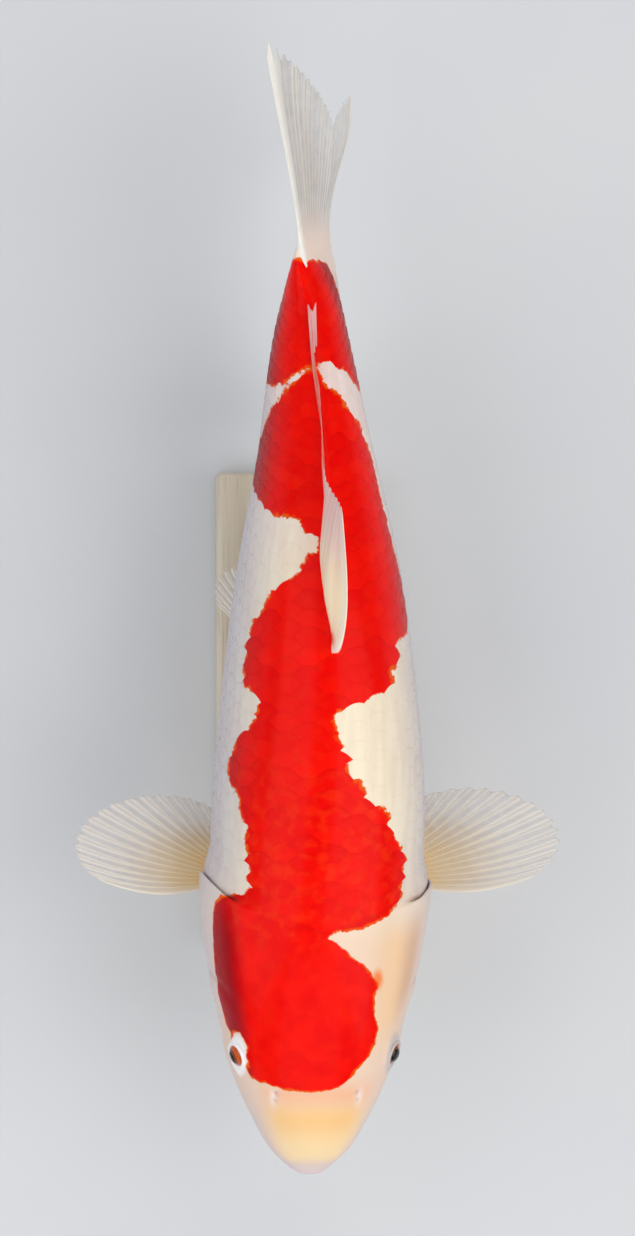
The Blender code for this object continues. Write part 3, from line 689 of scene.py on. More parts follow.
class Shape:
    """Points, faces and painted values of one mesh while it is put together."""

    def __init__(self):
        self.points, self.faces, self.uvs, self.values = [], [], [], []
        self.count = 0

    def add(self, points, faces, uvs, tone, **values):
        """Add a piece; values are one number for each of its points, or one for all."""
        points = np.asarray(points, dtype=float).reshape(-1, 3)
        total = len(points)
        filled = {"tone": np.broadcast_to(np.asarray(tone, dtype=float).reshape(-1, 3), (total, 3))}
        for name, value in values.items():
            filled[name] = np.broadcast_to(np.asarray(value, dtype=float).reshape(-1), (total,))
        self.points.append(points)
        self.faces.append(np.asarray(faces) + self.count)
        self.uvs.append(np.asarray(uvs, dtype=float).reshape(-1, 2))
        self.values.append(filled)
        self.count += total

    def build(self, name, material, uv_name="OFBake"):
        """One object from all the pieces, riding on the body of the model."""
        mesh = bpy.data.meshes.new(name)
        mesh.from_pydata(np.concatenate(self.points).tolist(), [], np.concatenate(self.faces).tolist())
        mesh.uv_layers.new(name=uv_name).data.foreach_set("uv", np.concatenate(self.uvs).ravel())
        for key in self.values[0]:
            data = np.concatenate([value[key] for value in self.values])
            if key == "tone":
                layer = mesh.attributes.new(key, "FLOAT_COLOR", "POINT")
                layer.data.foreach_set("color", np.c_[data, np.ones(len(data))].ravel())
            else:
                layer = mesh.attributes.new(key, "FLOAT", "POINT")
                layer.data.foreach_set("value", data)
        mesh.materials.append(material)
        mesh.shade_smooth()
        made = add_object(name, mesh)
        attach(made, "root")
        return made


def grid_faces(rows, columns, closed):
    """Four-cornered faces of a grid of points, and the grid places of their corners."""
    last = columns if closed else columns - 1
    i, j = (index.ravel() for index in np.meshgrid(np.arange(rows - 1), np.arange(last), indexing="ij"))
    corners = ((i, j), (i + 1, j), (i + 1, j + 1), (i, j + 1))
    faces = np.stack([a * columns + b % columns for a, b in corners], axis=1)
    return faces, np.stack([np.stack(corner, axis=1) for corner in corners], axis=1)


def grid_uvs(places, across, along):
    """Corner UVs of a grid from one array for its rows and one for its columns."""
    return np.stack([across[places[..., 0]], along[places[..., 1]]], axis=-1)


def tube(path, radii, sides, tip=6):
    """Rings of points along a path, with rounded ends."""
    path, radii = np.asarray(path, dtype=float), np.asarray(radii, dtype=float)
    along = unit(np.gradient(path, axis=0))
    side = unit(np.cross(along, (0.0, 0.0, 1.0)))
    up = np.cross(side, along)
    ends = np.sin(np.linspace(0.08, 1.0, tip) * math.pi / 2.0)[:-1]
    reach = np.sqrt(1.0 - ends ** 2)[:, None]
    first = path[0] - along[0] * radii[0] * reach
    last = path[-1] + along[-1] * radii[-1] * reach[::-1]
    centres = np.concatenate([first, path, last])
    spread = np.concatenate([radii[0] * ends, radii, radii[-1] * ends[::-1]])
    index = np.clip(np.arange(len(centres)) - len(ends), 0, len(path) - 1)
    turns = np.linspace(0.0, math.tau, sides, endpoint=False)[None, :, None]
    ring = side[index][:, None] * np.cos(turns) + up[index][:, None] * np.sin(turns)
    return centres[:, None] + ring * spread[:, None, None]


# ---------------------------------------------------------------- skin

# The free edge of a gill cover seen in section: backwards and outwards from its outer edge
FOLD = (
    (0.0006, -0.0003), (0.0009, -0.0009), (0.0006, -0.0015), (-0.0004, -0.0019), (-0.0025, -0.0026),
    (-0.0050, -0.0040), (-0.0075, -0.0056), (-0.0085, -0.0066), (-0.0070, -0.0054), (-0.0040, -0.0046),
    (-0.0010, -0.0044), (0.0020, -0.0044),
)
FOLD_STEP = 0.0003
FOLD_FREE_ROWS = 7
# Strength of the gill slit's painted dark-red shade on the left; it is 1 on the right
LEFT_SLIT_SHADE = 0.5
ROOT_CAP_ROWS = 7
ROOT_CAP_LENGTH = 0.010
ROOT_CAP_FALL = 0.016


def root_cap(angle):
    """Rows past the tail root, thinned to nothing where they run out on to the fin."""
    share = np.linspace(0.0, 1.0, ROOT_CAP_ROWS + 1)[1:, None]
    rows = np.repeat(curve_at(BODY, np.array([ROOT_PARAMETER])), ROOT_CAP_ROWS, axis=0)
    rows[:, 0:1] += ROOT_CAP_LENGTH * share
    rows[:, 1:2] *= 1.0 - share ** 1.3
    rows[:, 2:3] -= ROOT_CAP_FALL * share ** 1.5
    rows[:, 3:4] += ROOT_CAP_FALL * share ** 1.5
    return np.stack([section_at(np.repeat(row[None], len(angle), axis=0), angle) for row in rows])


def skin_grid():
    """Lengths behind the lips, angles and lifts of the skin's rows and columns."""
    angle = np.linspace(-math.pi, math.pi, SKIN_AROUND, endpoint=False)
    rear = gill_rear(angle)
    free = gill_open(angle)
    share = np.linspace(0.0, 1.0, HEAD_ROWS)[:, None]
    t = SNOUT_PARAMETER + (parameter_at(rear) - SNOUT_PARAMETER)[None, :] * share ** 0.9
    behind = np.interp(t, PARAMETERS, BEHINDS)
    lift = head_lift(behind, angle[None, :])
    edge = lift[-1]
    behinds, lifts, params = [behind], [lift], [t]
    bed = trunk_lift(rear, angle) - SCALE_BED
    for k, (back, out) in enumerate(FOLD):
        step = (k + 1) * FOLD_STEP
        sunk = mix(edge, bed, ramp((k + 1) / len(FOLD), 0.0, 1.0))
        here = rear + mix(step, back, free)
        floor = trunk_lift(here, angle) - SCALE_BED
        depth = np.maximum(edge + out * edge / GILL_REAR_LIFT, floor) if k < FOLD_FREE_ROWS else floor
        behinds.append(here[None, :])
        params.append(parameter_at(here)[None, :])
        lifts.append(mix(sunk, depth, free)[None, :])
    start = rear + mix(FOLD_STEP * (len(FOLD) + 1), 0.0030, free)
    share = np.linspace(0.0, 1.0, TRUNK_ROWS)[:, None]
    behind = start[None, :] + (TAIL_ROOT - start)[None, :] * share
    behinds.append(behind)
    params.append(parameter_at(behind))
    lifts.append(trunk_lift(behind, angle[None, :]) - SCALE_BED * (1.0 - ramp(behind, 0.516, 0.527)))
    return angle, np.concatenate(behinds), np.concatenate(params), np.concatenate(lifts)


def unwrap_columns(columns):
    """Unwrap coordinate round the body, 0 to 1, for the columns and the closing one."""
    return 0.02 + 0.84 * np.arange(columns + 1) / columns


def unwrap_trunk(behind, angle):
    """Unwrap coordinates of places on the trunk, the same as the skin's own."""
    start = gill_rear(angle) + 0.003
    share = np.clip((behind - start) / (TAIL_ROOT - start), 0.0, 1.0)
    return np.stack([0.36 + 0.60 * share, 0.02 + 0.84 * (angle + math.pi) / math.tau], axis=-1)


def add_flesh(shape, rings, tone, strip):
    """Add a small fleshy tube to the skin, unwrapped into a strip beside it."""
    rows, columns = rings.shape[:2]
    faces, places = grid_faces(rows, columns, True)
    across = 0.02 + 0.94 * np.arange(rows) / rows
    along = strip + 0.016 * np.arange(columns + 1) / columns
    shape.add(rings, faces, grid_uvs(places, across, along), tone, **PLAIN_FLESH)


def lip_path(lip, count=41):
    """Centre line of a lip, a downturned bow, and its radii."""
    turn = LIP_SWEEP * np.linspace(-1.0, 1.0, count)
    rise = 1.0 - np.cos(turn)
    fall = rise / (1.0 - math.cos(LIP_SWEEP))
    path = place(HEAD_MIDDLE + MOUTH_HALF_WIDTH * np.sin(turn), lip["front"] + lip["depth"] * rise,
                 lip["level"] + (lip["corner"] - lip["level"]) * fall)
    return path, lip["radius"] * (1.0 - 0.5 * fall)


def barbel_path(barbel, side, count=22):
    """Centre line of a barbel, which curls down and back, and its radii."""
    f = np.linspace(0.0, 1.0, count)
    turn = 0.5 * math.pi * f
    shares = (np.sin(turn), 1.0 - np.cos(turn), f)
    across, behind, up = (barbel["root"][i] + barbel["run"][i] * shares[i] for i in range(3))
    radii = barbel["radius"] * (1.0 - 0.62 * f + 0.35 * bell(f, 0.12))
    return place(HEAD_MIDDLE + side * across, behind, up), radii


def eye_frame(side):
    """Middle of an eyeball, its outward direction, and two directions across it."""
    t = parameter_at(EYE_BEHIND)
    surface = body_at(t, side * EYE_ANGLE)
    out = normals_at(t, side * EYE_ANGLE)
    back = unit(np.cross(out, (0.0, 0.0, 1.0)) * -side)
    up = np.cross(out, back) * side
    return surface - out * EYE_SUNK, out, back, up


def add_eye_rims(shape):
    """A smooth rim of skin round each eye's opening."""
    turns = np.linspace(0.0, math.tau, RIM_AROUND, endpoint=False)
    section = np.linspace(0.0, math.tau, RIM_SECTION, endpoint=False)
    radius = EYE_OPENING + 0.0008 + 0.0012 * np.cos(section)[:, None]
    height = np.sqrt(EYE_RADIUS ** 2 - EYE_OPENING ** 2) - 0.0006 + 0.0015 * np.sin(section)[:, None]
    across = 0.03 + 0.01 * np.arange(RIM_SECTION + 1)
    # The left rim is painted greyer, as shade
    for side, tone, strip in ((1.0, SHADED_RING, 0.965), (-1.0, RING, 0.98)):
        centre, out, back, up = eye_frame(side)
        round_ = back * np.cos(turns)[:, None] + up * np.sin(turns)[:, None]
        points = centre + radius[..., None] * round_[None] + height[..., None] * out
        points = np.concatenate([points, points[:1]])[::-int(side)]
        faces, places = grid_faces(RIM_SECTION + 1, RIM_AROUND, True)
        along = strip + 0.012 * np.arange(RIM_AROUND + 1) / RIM_AROUND
        shape.add(points, faces, grid_uvs(places, across, along), tone, **PLAIN_FLESH)


def redden_mouth(points, behind, tone):
    """Colour of the skin with pink round the lips and painted shade drawn in the mouth's slit between them.
    """
    paths = [lip_path(lip, 161)[0] for lip in LIPS.values()]
    reach = np.full(points.shape[:-1], 1.0)
    for at in 0.5 * (paths[0] + paths[1]):
        across = points[..., 0] - at[0]
        up = points[..., 2] - at[2]
        reach = np.minimum(reach, np.hypot(across, up))
    front = 1.0 - ramp(behind, MOUTH_DEPTH - 0.004, MOUTH_DEPTH)
    pink = 0.5 * (1.0 - ramp(reach, 0.0030, 0.0070)) * front
    # Painted shade along the mouth's slit
    slit = 0.6 * (1.0 - ramp(reach, 0.0003, 0.0013)) * front
    return tint(tint(tone, LIP_PINK, pink), PIT_SHADE, slit)


def make_skin(material):
    """One skin from snout to tail root, with lips, barbels and eye rims."""
    shape = Shape()
    angle, behind, t, lift = skin_grid()
    points = lifted(t, angle[None, :], lift)
    points[0] = points[0].mean(axis=0)
    points = np.concatenate([points, root_cap(angle)])
    past = TAIL_ROOT + ROOT_CAP_LENGTH * np.linspace(0.0, 1.0, ROOT_CAP_ROWS + 1)[1:, None]
    behind = np.concatenate([behind, np.repeat(past, len(angle), axis=1)])
    rows, columns = behind.shape
    faces, places = grid_faces(rows, columns, True)
    joins = (0, HEAD_ROWS - 1, HEAD_ROWS + len(FOLD), rows - 1 - ROOT_CAP_ROWS, rows - 1)
    rows_u = np.interp(np.arange(rows), joins, (0.02, 0.32, 0.36, 0.96, 0.98))
    uvs = grid_uvs(places, rows_u, unwrap_columns(columns))
    wide = np.broadcast_to(angle[None, :], behind.shape)
    fold = np.zeros(behind.shape)
    # Painted dark-red shade in the gill slits, half as strong on the left
    slit = gill_open(angle) * np.where(angle > 0.0, LEFT_SLIT_SHADE, 1.0)
    fold[HEAD_ROWS + 3:HEAD_ROWS + len(FOLD) - 1] = slit
    tone = redden_mouth(points, behind, paint(behind, wide))
    shape.add(points, faces[:, ::-1], uvs[:, ::-1], tone.reshape(-1, 3),
              red=red_depth(behind, wide), fold=fold, **shades(behind, wide))
    add_eye_rims(shape)
    for k, name in enumerate(LIPS):
        path, radii = lip_path(LIPS[name])
        add_flesh(shape, tube(path, radii, 20), mix(LILAC, LIP_PINK, 0.6), 0.865 + 0.018 * k)
    for k, barbel in enumerate(BARBELS):
        for side in (1.0, -1.0):
            path, radii = barbel_path(barbel, side)
            strip = 0.901 + 0.018 * (2 * k + (side > 0))
            add_flesh(shape, tube(path, radii, 12), mix(BLUSH, PEACH, 0.4), strip)
    skin = shape.build("skin", material)
    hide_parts("head", "trunk_front", "trunk_rear", "tail_stem", "gill_cover_left",
                "gill_cover_right", "upper_lip", "lower_lip", "barbel_upper_left", "barbel_upper_right",
                "barbel_corner_left", "barbel_corner_right")


# ---------------------------------------------------------------- scales

def scale_pitch(behind):
    """Length between scales in a row, which shrinks towards the tail."""
    return 0.0104 - 0.0034 * ramp(behind, 0.33, 0.53) - 0.0012 * (1.0 - ramp(behind, 0.14, 0.19))


def scale_tips(offset):
    """Lengths behind the lips of the free edges of one row of scales."""
    behinds = np.linspace(0.110, TAIL_ROOT, 900)
    counts = np.concatenate([[0.0], np.cumsum(np.diff(behinds) / scale_pitch(behinds[:-1]))])
    return np.interp(np.arange(offset, counts[-1], 1.0), counts, behinds)


def fin_base(behind, row):
    """Whether a scale would stand where a fin of the middle line is rooted."""
    dorsal = (row == 0) & (behind > DORSAL_ROOT_START + 0.003) & (behind < DORSAL_ROOT_END + 0.008)
    anal = (row == SCALE_HALF) & (behind > ANAL_START - 0.001) & (behind < ANAL_END + 0.006)
    return dorsal | anal


# Lines across a scale from root to free edge, how far each falls short of an even slope, and the
# places across it; the free edge turns down towards the skin
SCALE_P = np.array([0.0, 0.22, 0.42, 0.60, 0.76, 0.89, 0.970, 0.992, 1.0])[:, None]
SCALE_FALL = np.array([0.0, 0.0, 0.0, 0.0, 0.0, 0.0, 0.02, 0.10, 0.45])[:, None]
SCALE_Q = np.linspace(-1.0, 1.0, 11)[None, :]


def scale_rise(tip, middle):
    """How far a scale's edge stands out: least behind the gill covers and on the back."""
    rise = SCALE_RISE * (0.35 + 0.65 * ramp(tip - gill_rear(middle), 0.004, 0.040))
    return rise * (0.65 + 0.35 * ramp(np.degrees(abs(middle)), 40.0, 80.0))


def scale_form(row):
    """Dome of a scale over its bed, with the small tube of the lateral line."""
    form = SCALE_DOME * (1.0 - SCALE_Q ** 2) * SCALE_P - SCALE_SUNK
    if abs(row) == LATERAL_ROW:
        form = form + LATERAL_TUBE * bell(SCALE_Q, 0.13) * window(SCALE_P, (0.30, 0.45), (0.88, 1.0))
    return form


def add_scale(shape, row, tip, middle):
    """Add one plate, rooted in the skin and free behind."""
    share = row / SCALE_HALF
    pitch = scale_pitch(tip)
    size = 1.0 + 0.05 * RNG.standard_normal()
    edge = tip + 0.03 * pitch * RNG.standard_normal() - pitch * (0.86 * SCALE_Q) ** 2 * 0.92
    root = tip - SCALE_LENGTH * pitch
    behind = root + (edge - root) * SCALE_P
    angle = angle_at_share(behind, share + 0.84 * SCALE_Q / SCALE_HALF)
    slope = (behind - root) / (SCALE_LENGTH * pitch) - SCALE_FALL
    height = size * scale_rise(tip, middle) * slope + scale_form(row)
    points = lifted(parameter_at(behind), angle, trunk_lift(behind, angle) - SCALE_BED + height)
    seen = np.array(tip - 0.5 * pitch)
    seen_angle = angle_at_share(seen, np.array(share))
    depth = red_depth(seen, seen_angle) + 0.5 * RNG.standard_normal()
    depth = mix(red_depth(behind, angle), depth, SCALE_UNITY)
    faces, places = grid_faces(SCALE_P.size, SCALE_Q.size, False)
    uv = unwrap_trunk(seen, seen_angle) + (places / (SCALE_P.size, SCALE_Q.size) - 0.5) * 0.003
    shape.add(points, faces[:, ::-1], uv[:, ::-1], paint(behind, angle).reshape(-1, 3), red=depth,
              vary=RNG.random(), tip=np.broadcast_to(SCALE_P, points.shape[:2]), **shades(behind, angle))


def make_scales(name, rows, material):
    """Overlapping plates in staggered rows, left out where the fins are rooted."""
    shape = Shape()
    for row in rows:
        for tip in scale_tips(0.5 * (row % 2)):
            middle = angle_at_share(np.array(tip), np.array(row / SCALE_HALF))
            on_trunk = gill_rear(middle) + 0.0015 <= tip <= TAIL_ROOT - 0.001
            if on_trunk and not fin_base(tip, row):
                add_scale(shape, row, tip, middle)
    scales = shape.build(name, material)


# ---------------------------------------------------------------- eyes

# How far each gaze points below and forward of its socket's own direction
GAZE_DOWN = {"left": math.radians(-9.0), "right": math.radians(20.0)}
GAZE_FORWARD = math.radians(4.0)
EYEBALL_RADIUS = EYE_RADIUS - 0.0002
PUPIL_BULGE = 0.0009


def make_eyes(material):
    """Eyeballs with their iris and pupil painted round the line of sight."""
    rings, columns = 60, 96
    polar = np.linspace(0.0, math.pi, rings)[:, None]
    turn = np.linspace(0.0, math.tau, columns, endpoint=False)[None, :]
    for name, side in (("left", 1.0), ("right", -1.0)):
        centre, out, back, up = eye_frame(side)
        gaze = unit(out - up * math.tan(GAZE_DOWN[name]) - back * math.tan(GAZE_FORWARD))
        first = unit(np.cross(gaze, (0.0, 1.0, 0.0)))
        second = np.cross(gaze, first)
        direction = (gaze * np.cos(polar)[..., None] + first * (np.sin(polar) * np.cos(turn))[..., None]
                     + second * (np.sin(polar) * np.sin(turn))[..., None])
        faces, places = grid_faces(rings, columns, True)
        uvs = grid_uvs(places, np.linspace(0.0, 1.0, rings), np.linspace(0.0, 1.0, columns + 1))
        shape = Shape()
        radius = EYEBALL_RADIUS + PUPIL_BULGE * (1.0 - ramp(np.degrees(polar), 14.0, 36.0))[..., None]
        shape.add(centre + direction * radius, faces, uvs, RING,
                  reach=np.broadcast_to(np.degrees(polar), (rings, columns)),
                  spin=np.broadcast_to(np.abs(turn - math.pi), (rings, columns)))
        eye = shape.build("eyeball_" + name, material)
        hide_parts("eye_" + name)


# ---------------------------------------------------------------- fins

MEMBRANE = 0.00014
RAY_RISE = 0.00034
RAY_WIDTH = 0.15
FIN_STEP = 0.004


def ray_ridges(u, phase):
    """Shares of height of the branched rays, and of the thicker first ray alone."""
    local = phase % 1.0 - 0.5
    split = 0.20 * ramp(u, 0.40, 0.95)
    first = bell(phase - 0.3, 0.45)
    branches = np.maximum(bell(local - split, RAY_WIDTH), bell(local + split, RAY_WIDTH))
    return np.maximum(branches, first), first


def fin_normals(surface, u, v):
    """Directions across a fin."""
    du = surface(np.minimum(u + FIN_STEP, 1.0), v) - surface(np.maximum(u - FIN_STEP, 0.0), v)
    dv = surface(u, np.minimum(v + FIN_STEP, 1.0)) - surface(u, np.maximum(v - FIN_STEP, 0.0))
    return unit(np.cross(du, dv))


def wrap_over(front, back, margin):
    """Rows of a fin's one side, then its other side backwards, closed by its margin."""
    sides = np.concatenate([front, back[:, ::-1]], axis=1)
    closing = np.concatenate([margin[-1:], margin[-1:, ::-1]], axis=1)
    return np.concatenate([sides, closing])


def rayed_fin(name, surface, rays, look, material, along=46, per_ray=12, pleat=0.0, root=0.0022,
              scallop=0.02, lead=1.5, fray=0.0):
    """Fin of a thin membrane over branched rays; surface(u, v) runs root to margin, front to rear."""
    u = np.linspace(0.0, 1.0, along)[:, None]
    v = np.linspace(0.0, 1.0, rays * per_ray + 1)[None, :]
    u, v = np.broadcast_arrays(u, v)
    phase = v * rays
    ridge, first = ray_ridges(u, phase)
    deeper = scallop + fray * ramp(v, 0.90, 0.97)
    reach = u * (1.0 - deeper * (0.5 + 0.5 * np.cos(math.tau * phase)) * ramp(u, 0.55, 1.0))
    normal = fin_normals(surface, reach, v)
    centre = surface(reach, v) + normal * (pleat * u * np.cos(math.tau * phase))[..., None]
    half = MEMBRANE + RAY_RISE * ridge * (1.0 - 0.62 * u) * (1.0 + lead * first * (1.0 - 0.6 * u))
    half = half + root * (1.0 - ramp(u, 0.0, 0.35)) ** 1.5
    offset = normal * (half * (1.0 - 0.75 * ramp(u, 0.97, 1.0)))[..., None]
    points = wrap_over(centre + offset, centre - offset, centre)
    rows, columns = points.shape[:2]
    faces, places = grid_faces(rows, columns, True)
    uvs = grid_uvs(places, np.linspace(0.0, 1.0, rows), np.linspace(0.0, 1.0, columns + 1))
    vary = RNG.random(rays + 2)[np.floor(phase + 0.5).astype(int)]
    painted = (*look(u, v, ridge, vary), ridge, u)
    tone, cover, ray, reach = (wrap_over(values, values, values) for values in painted)
    shape = Shape()
    shape.add(points, faces, uvs, tone, cover=cover, ray=ray, reach=reach)
    fin = shape.build(name, material)
    return fin


FIN_ROOT = rgb(250, 210, 136)
FIN_CREAM = rgb(246, 238, 224)
FIN_EDGE = rgb(255, 246, 228)
TAIL_EDGE = rgb(255, 250, 240)
TAIL_BAND = rgb(204, 194, 184)
FIN_MEMBRANE = rgb(192, 190, 194)
FIN_PINK = rgb(238, 192, 184)
DORSAL_CREAM = rgb(255, 232, 186)
DORSAL_PINK = rgb(240, 206, 198)
DORSAL_RED = rgb(236, 60, 20)
DORSAL_RUST = rgb(240, 76, 46)
DORSAL_ROSE = rgb(232, 116, 130)


def plain_look(root_tone, root_end, thin):
    """Look of a pale fin: warm at its root, clearer towards its margin and between its rays."""
    def look(u, v, ridge, vary):
        tone = tint(FIN_MEMBRANE, FIN_CREAM, 0.20 + 0.80 * ridge * (0.7 + 0.3 * vary))
        root = tint(root_tone, FIN_CREAM, 0.35 * ridge)
        tone = tint(root, tone, ramp(u, 0.05, root_end))
        front = bell(v * 16.0, 1.0)
        tone = tint(tone, FIN_EDGE, 0.7 * front)
        cover = mix(0.97, thin, ramp(u, 0.20, 0.85))
        cover = cover + (0.97 - cover) * 0.60 * ridge * (1.0 - 0.40 * u)
        return tone, np.clip(mix(cover, 0.97, front), 0.0, 0.98)
    return look


def dorsal_look(u, v, ridge, vary):
    """Look of the folded dorsal fin: cream leading ray, pink pleats, red at the root."""
    warm = tint(DORSAL_CREAM, DORSAL_PINK, ramp(u, 0.30, 0.95))
    tone = tint(FIN_PINK, warm, 0.15 + 0.85 * np.clip(ridge * (0.4 + vary), 0.0, 1.0))
    front = (1.0 - ramp(v, 0.10, 0.30)) * (1.0 - ramp(u, 0.5, 0.9))
    tone = tint(tone, DORSAL_CREAM, 0.7 * front)
    tone = tint(tone, FIN_EDGE, bell(v, 0.03) * (1.0 - 0.5 * u))
    low = (1.0 - ramp(u, 0.02, 0.16)) * ramp(v, 0.0, 0.06)
    tone = tint(tone, DORSAL_RED, 0.9 * low)
    tone = tint(tone, DORSAL_RUST, 0.85 * window(v, (0.36, 0.46), (0.76, 0.84)))
    last = ramp(v, 0.78, 0.86) * (1.0 - 0.5 * ridge)
    tone = tint(tone, DORSAL_ROSE, 0.8 * last)
    cover = mix(0.98, 0.90, ramp(u, 0.3, 0.9)) + 0.08 * ridge
    return tone, np.clip(cover, 0.0, 0.99)


def make_tail_fin(material):
    """Forked fin, its upper lobe longer, twisted and cupped."""
    lower, middle, upper = (smooth_curve(TAIL_LINES[name]) for name in ("lower", "middle", "upper"))
    last = len(TAIL_LINES["middle"]) - 1

    def surface(u, v):
        t = last * u
        fork = curve_at(middle, t)
        lobe = np.where((v >= 0.5)[..., None], curve_at(upper, t), curve_at(lower, t))
        share = np.abs(2.0 * v - 1.0)
        side = fork[..., 0] + (lobe[..., 0] - fork[..., 0]) * share ** (1.0 + 0.6 * u)
        behind = fork[..., 1] + (lobe[..., 1] - fork[..., 1]) * share ** (1.0 - 0.2 * u)
        return place(side, behind, lobe[..., 2] * share)

    def look(u, v, ridge, vary):
        upper_edge, lower_edge = ramp(v, 0.93, 0.985), 1.0 - ramp(v, 0.0, 0.05)
        streak = ridge * (0.25 + 0.75 * vary)
        tone = tint(FIN_MEMBRANE, FIN_CREAM, 0.15 + 0.85 * streak)
        band = bell(v - 0.80, 0.14) * (1.0 - ramp(u, 0.4, 0.9))
        tone = tint(tone, TAIL_BAND, 0.6 * band)
        tone = tint(TAIL_FLESH, tone, ramp(u, 0.10, 0.36))
        tone = tint(tone, TAIL_EDGE, np.maximum(upper_edge, 0.5 * lower_edge))
        cover = mix(0.97, 0.34 + 0.22 * ramp(v, 0.5, 0.9), ramp(u, 0.10, 0.85))
        cover = cover + 0.34 * streak * (1.0 - 0.5 * u)
        return tone, np.clip(mix(cover, 0.95, np.maximum(upper_edge, 0.6 * lower_edge)), 0.0, 0.97)

    fin = rayed_fin("tail_rays", surface, 30, look, material, along=70, per_ray=9, pleat=0.0001,
                    root=0.0030, scallop=0.03, lead=1.2, fray=0.09)
    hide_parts("tail_fin")


# Margin of the folded dorsal fin: share of its root, sweep backwards, height over the back and
# lean to the left
DORSAL_MARGIN = (
    (0.00, 0.078, 0.055, 0.0006), (0.10, 0.068, 0.044, 0.0000), (0.20, 0.058, 0.028, -0.0012),
    (0.30, 0.049, 0.015, -0.0026), (0.44, 0.038, 0.008, -0.0036), (0.58, 0.036, 0.007, -0.0022),
    (0.72, 0.038, 0.007, -0.0018), (0.86, 0.063, 0.004, -0.0058), (0.93, 0.048, 0.003, -0.0030),
    (1.00, 0.043, 0.003, -0.0010),
)
DORSAL_BOW = 0.0040
DORSAL_BULGE = -0.0066


def make_dorsal_fin(material):
    """Long fin, half folded: its front bows to the left, and its last rays lie flat on the back."""
    shares = [row[0] for row in DORSAL_MARGIN]

    def surface(u, v):
        sweep, height, lean = (np.interp(v, shares, [row[k] for row in DORSAL_MARGIN]) for k in (1, 2, 3))
        root = curve_at(BODY, parameter_at(DORSAL_ROOT_START + (DORSAL_ROOT_END - DORSAL_ROOT_START) * v))
        over = curve_at(BODY, parameter_at(root[..., 0] + sweep))
        low = root[..., 2] - 0.004
        bulge = mix(DORSAL_BOW, DORSAL_BULGE, ramp(v, 0.0, 0.11)) * (1.0 - ramp(v, 0.20, 0.40))
        side = lean * u ** 0.75 + bulge * np.sin(math.pi * u)
        return place(root[..., 7] + (over[..., 7] - root[..., 7]) * u + side,
                     root[..., 0] + sweep * u ** 1.6, low + (over[..., 2] + height - low) * u ** 0.55)

    fin = rayed_fin("dorsal_rays", surface, 20, dorsal_look, material, along=46, per_ray=10, pleat=0.0001,
                    root=0.0010, scallop=0.008, lead=0.9)
    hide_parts("dorsal_fin")


def make_anal_fin(material):
    """Short fin under the tail stem, swept back."""
    def surface(u, v):
        root = curve_at(BODY, parameter_at(ANAL_START + (ANAL_END - ANAL_START) * v))
        depth = 0.006 + ANAL_DEPTH * (1.0 - 0.52 * ramp(v, 0.0, 1.0))
        return place(root[..., 7] + 0.003 * u * u, root[..., 0] + (0.044 - 0.012 * v) * u ** 1.1,
                     root[..., 3] + 0.006 - depth * u)

    fin = rayed_fin("anal_rays", surface, 8, plain_look(FIN_CREAM, 0.5, 0.62), material, along=46,
                    per_ray=14, scallop=0.04)
    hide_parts("anal_fin")


def fan_out(root, run, middle, reach, fan, u, v):
    """Distances sideways and behind the lips over a fan whose margin is part of an oval."""
    turn = fan[0] + (fan[1] - fan[0]) * v
    margin = (middle[0] + reach[0] * np.cos(turn), middle[1] + reach[1] * np.sin(turn))
    return [mix(root[k] + run[k] * v, margin[k], u) for k in (0, 1)]


def make_pectoral_fins(material):
    """Broad fans spread level behind the gill covers."""
    for name, fin in PECTORALS.items():

        def surface(u, v, fin=fin):
            across, behind = fan_out(PECTORAL_ROOT, PECTORAL_ROOT_RUN, fin["middle"], fin["reach"],
                                     PECTORAL_FAN, u, v)
            behind = behind - PECTORAL_BOW * np.sin(math.pi * u ** 1.2) * (1.0 - v) ** 1.5
            outward = (across - PECTORAL_ROOT[0]) / (fin["middle"][0] + fin["reach"][0] - PECTORAL_ROOT[0])
            up = PECTORAL_ROOT[2] + PECTORAL_RISE * np.maximum(outward, 0.0) ** 0.85
            return place(fin["side"] * across, behind, up)

        made = rayed_fin("pectoral_rays_" + name, surface, 17, plain_look(FIN_ROOT, 0.85, 0.36), material,
                         along=60, per_ray=12, pleat=0.0001, scallop=0.025, lead=2.0)
        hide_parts("pectoral_fin_" + name)


def make_pelvic_fins(material):
    """Smaller fans under the belly."""
    middle = STATIONS[10][7]
    for name, side in PELVICS.items():

        def surface(u, v, side=side):
            across, behind = fan_out(PELVIC_ROOT, PELVIC_ROOT_RUN, PELVIC_MIDDLE, PELVIC_REACH,
                                     PELVIC_FAN, u, v)
            return place(middle + side * across, behind, PELVIC_ROOT[2] - PELVIC_FALL * u)

        made = rayed_fin("pelvic_rays_" + name, surface, 10, plain_look(FIN_CREAM, 0.6, 0.52), material,
                         along=46, per_ray=12, pleat=0.0003, scallop=0.045, lead=2.0)
        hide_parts("pelvic_fin_" + name)


# ---------------------------------------------------------------- materials

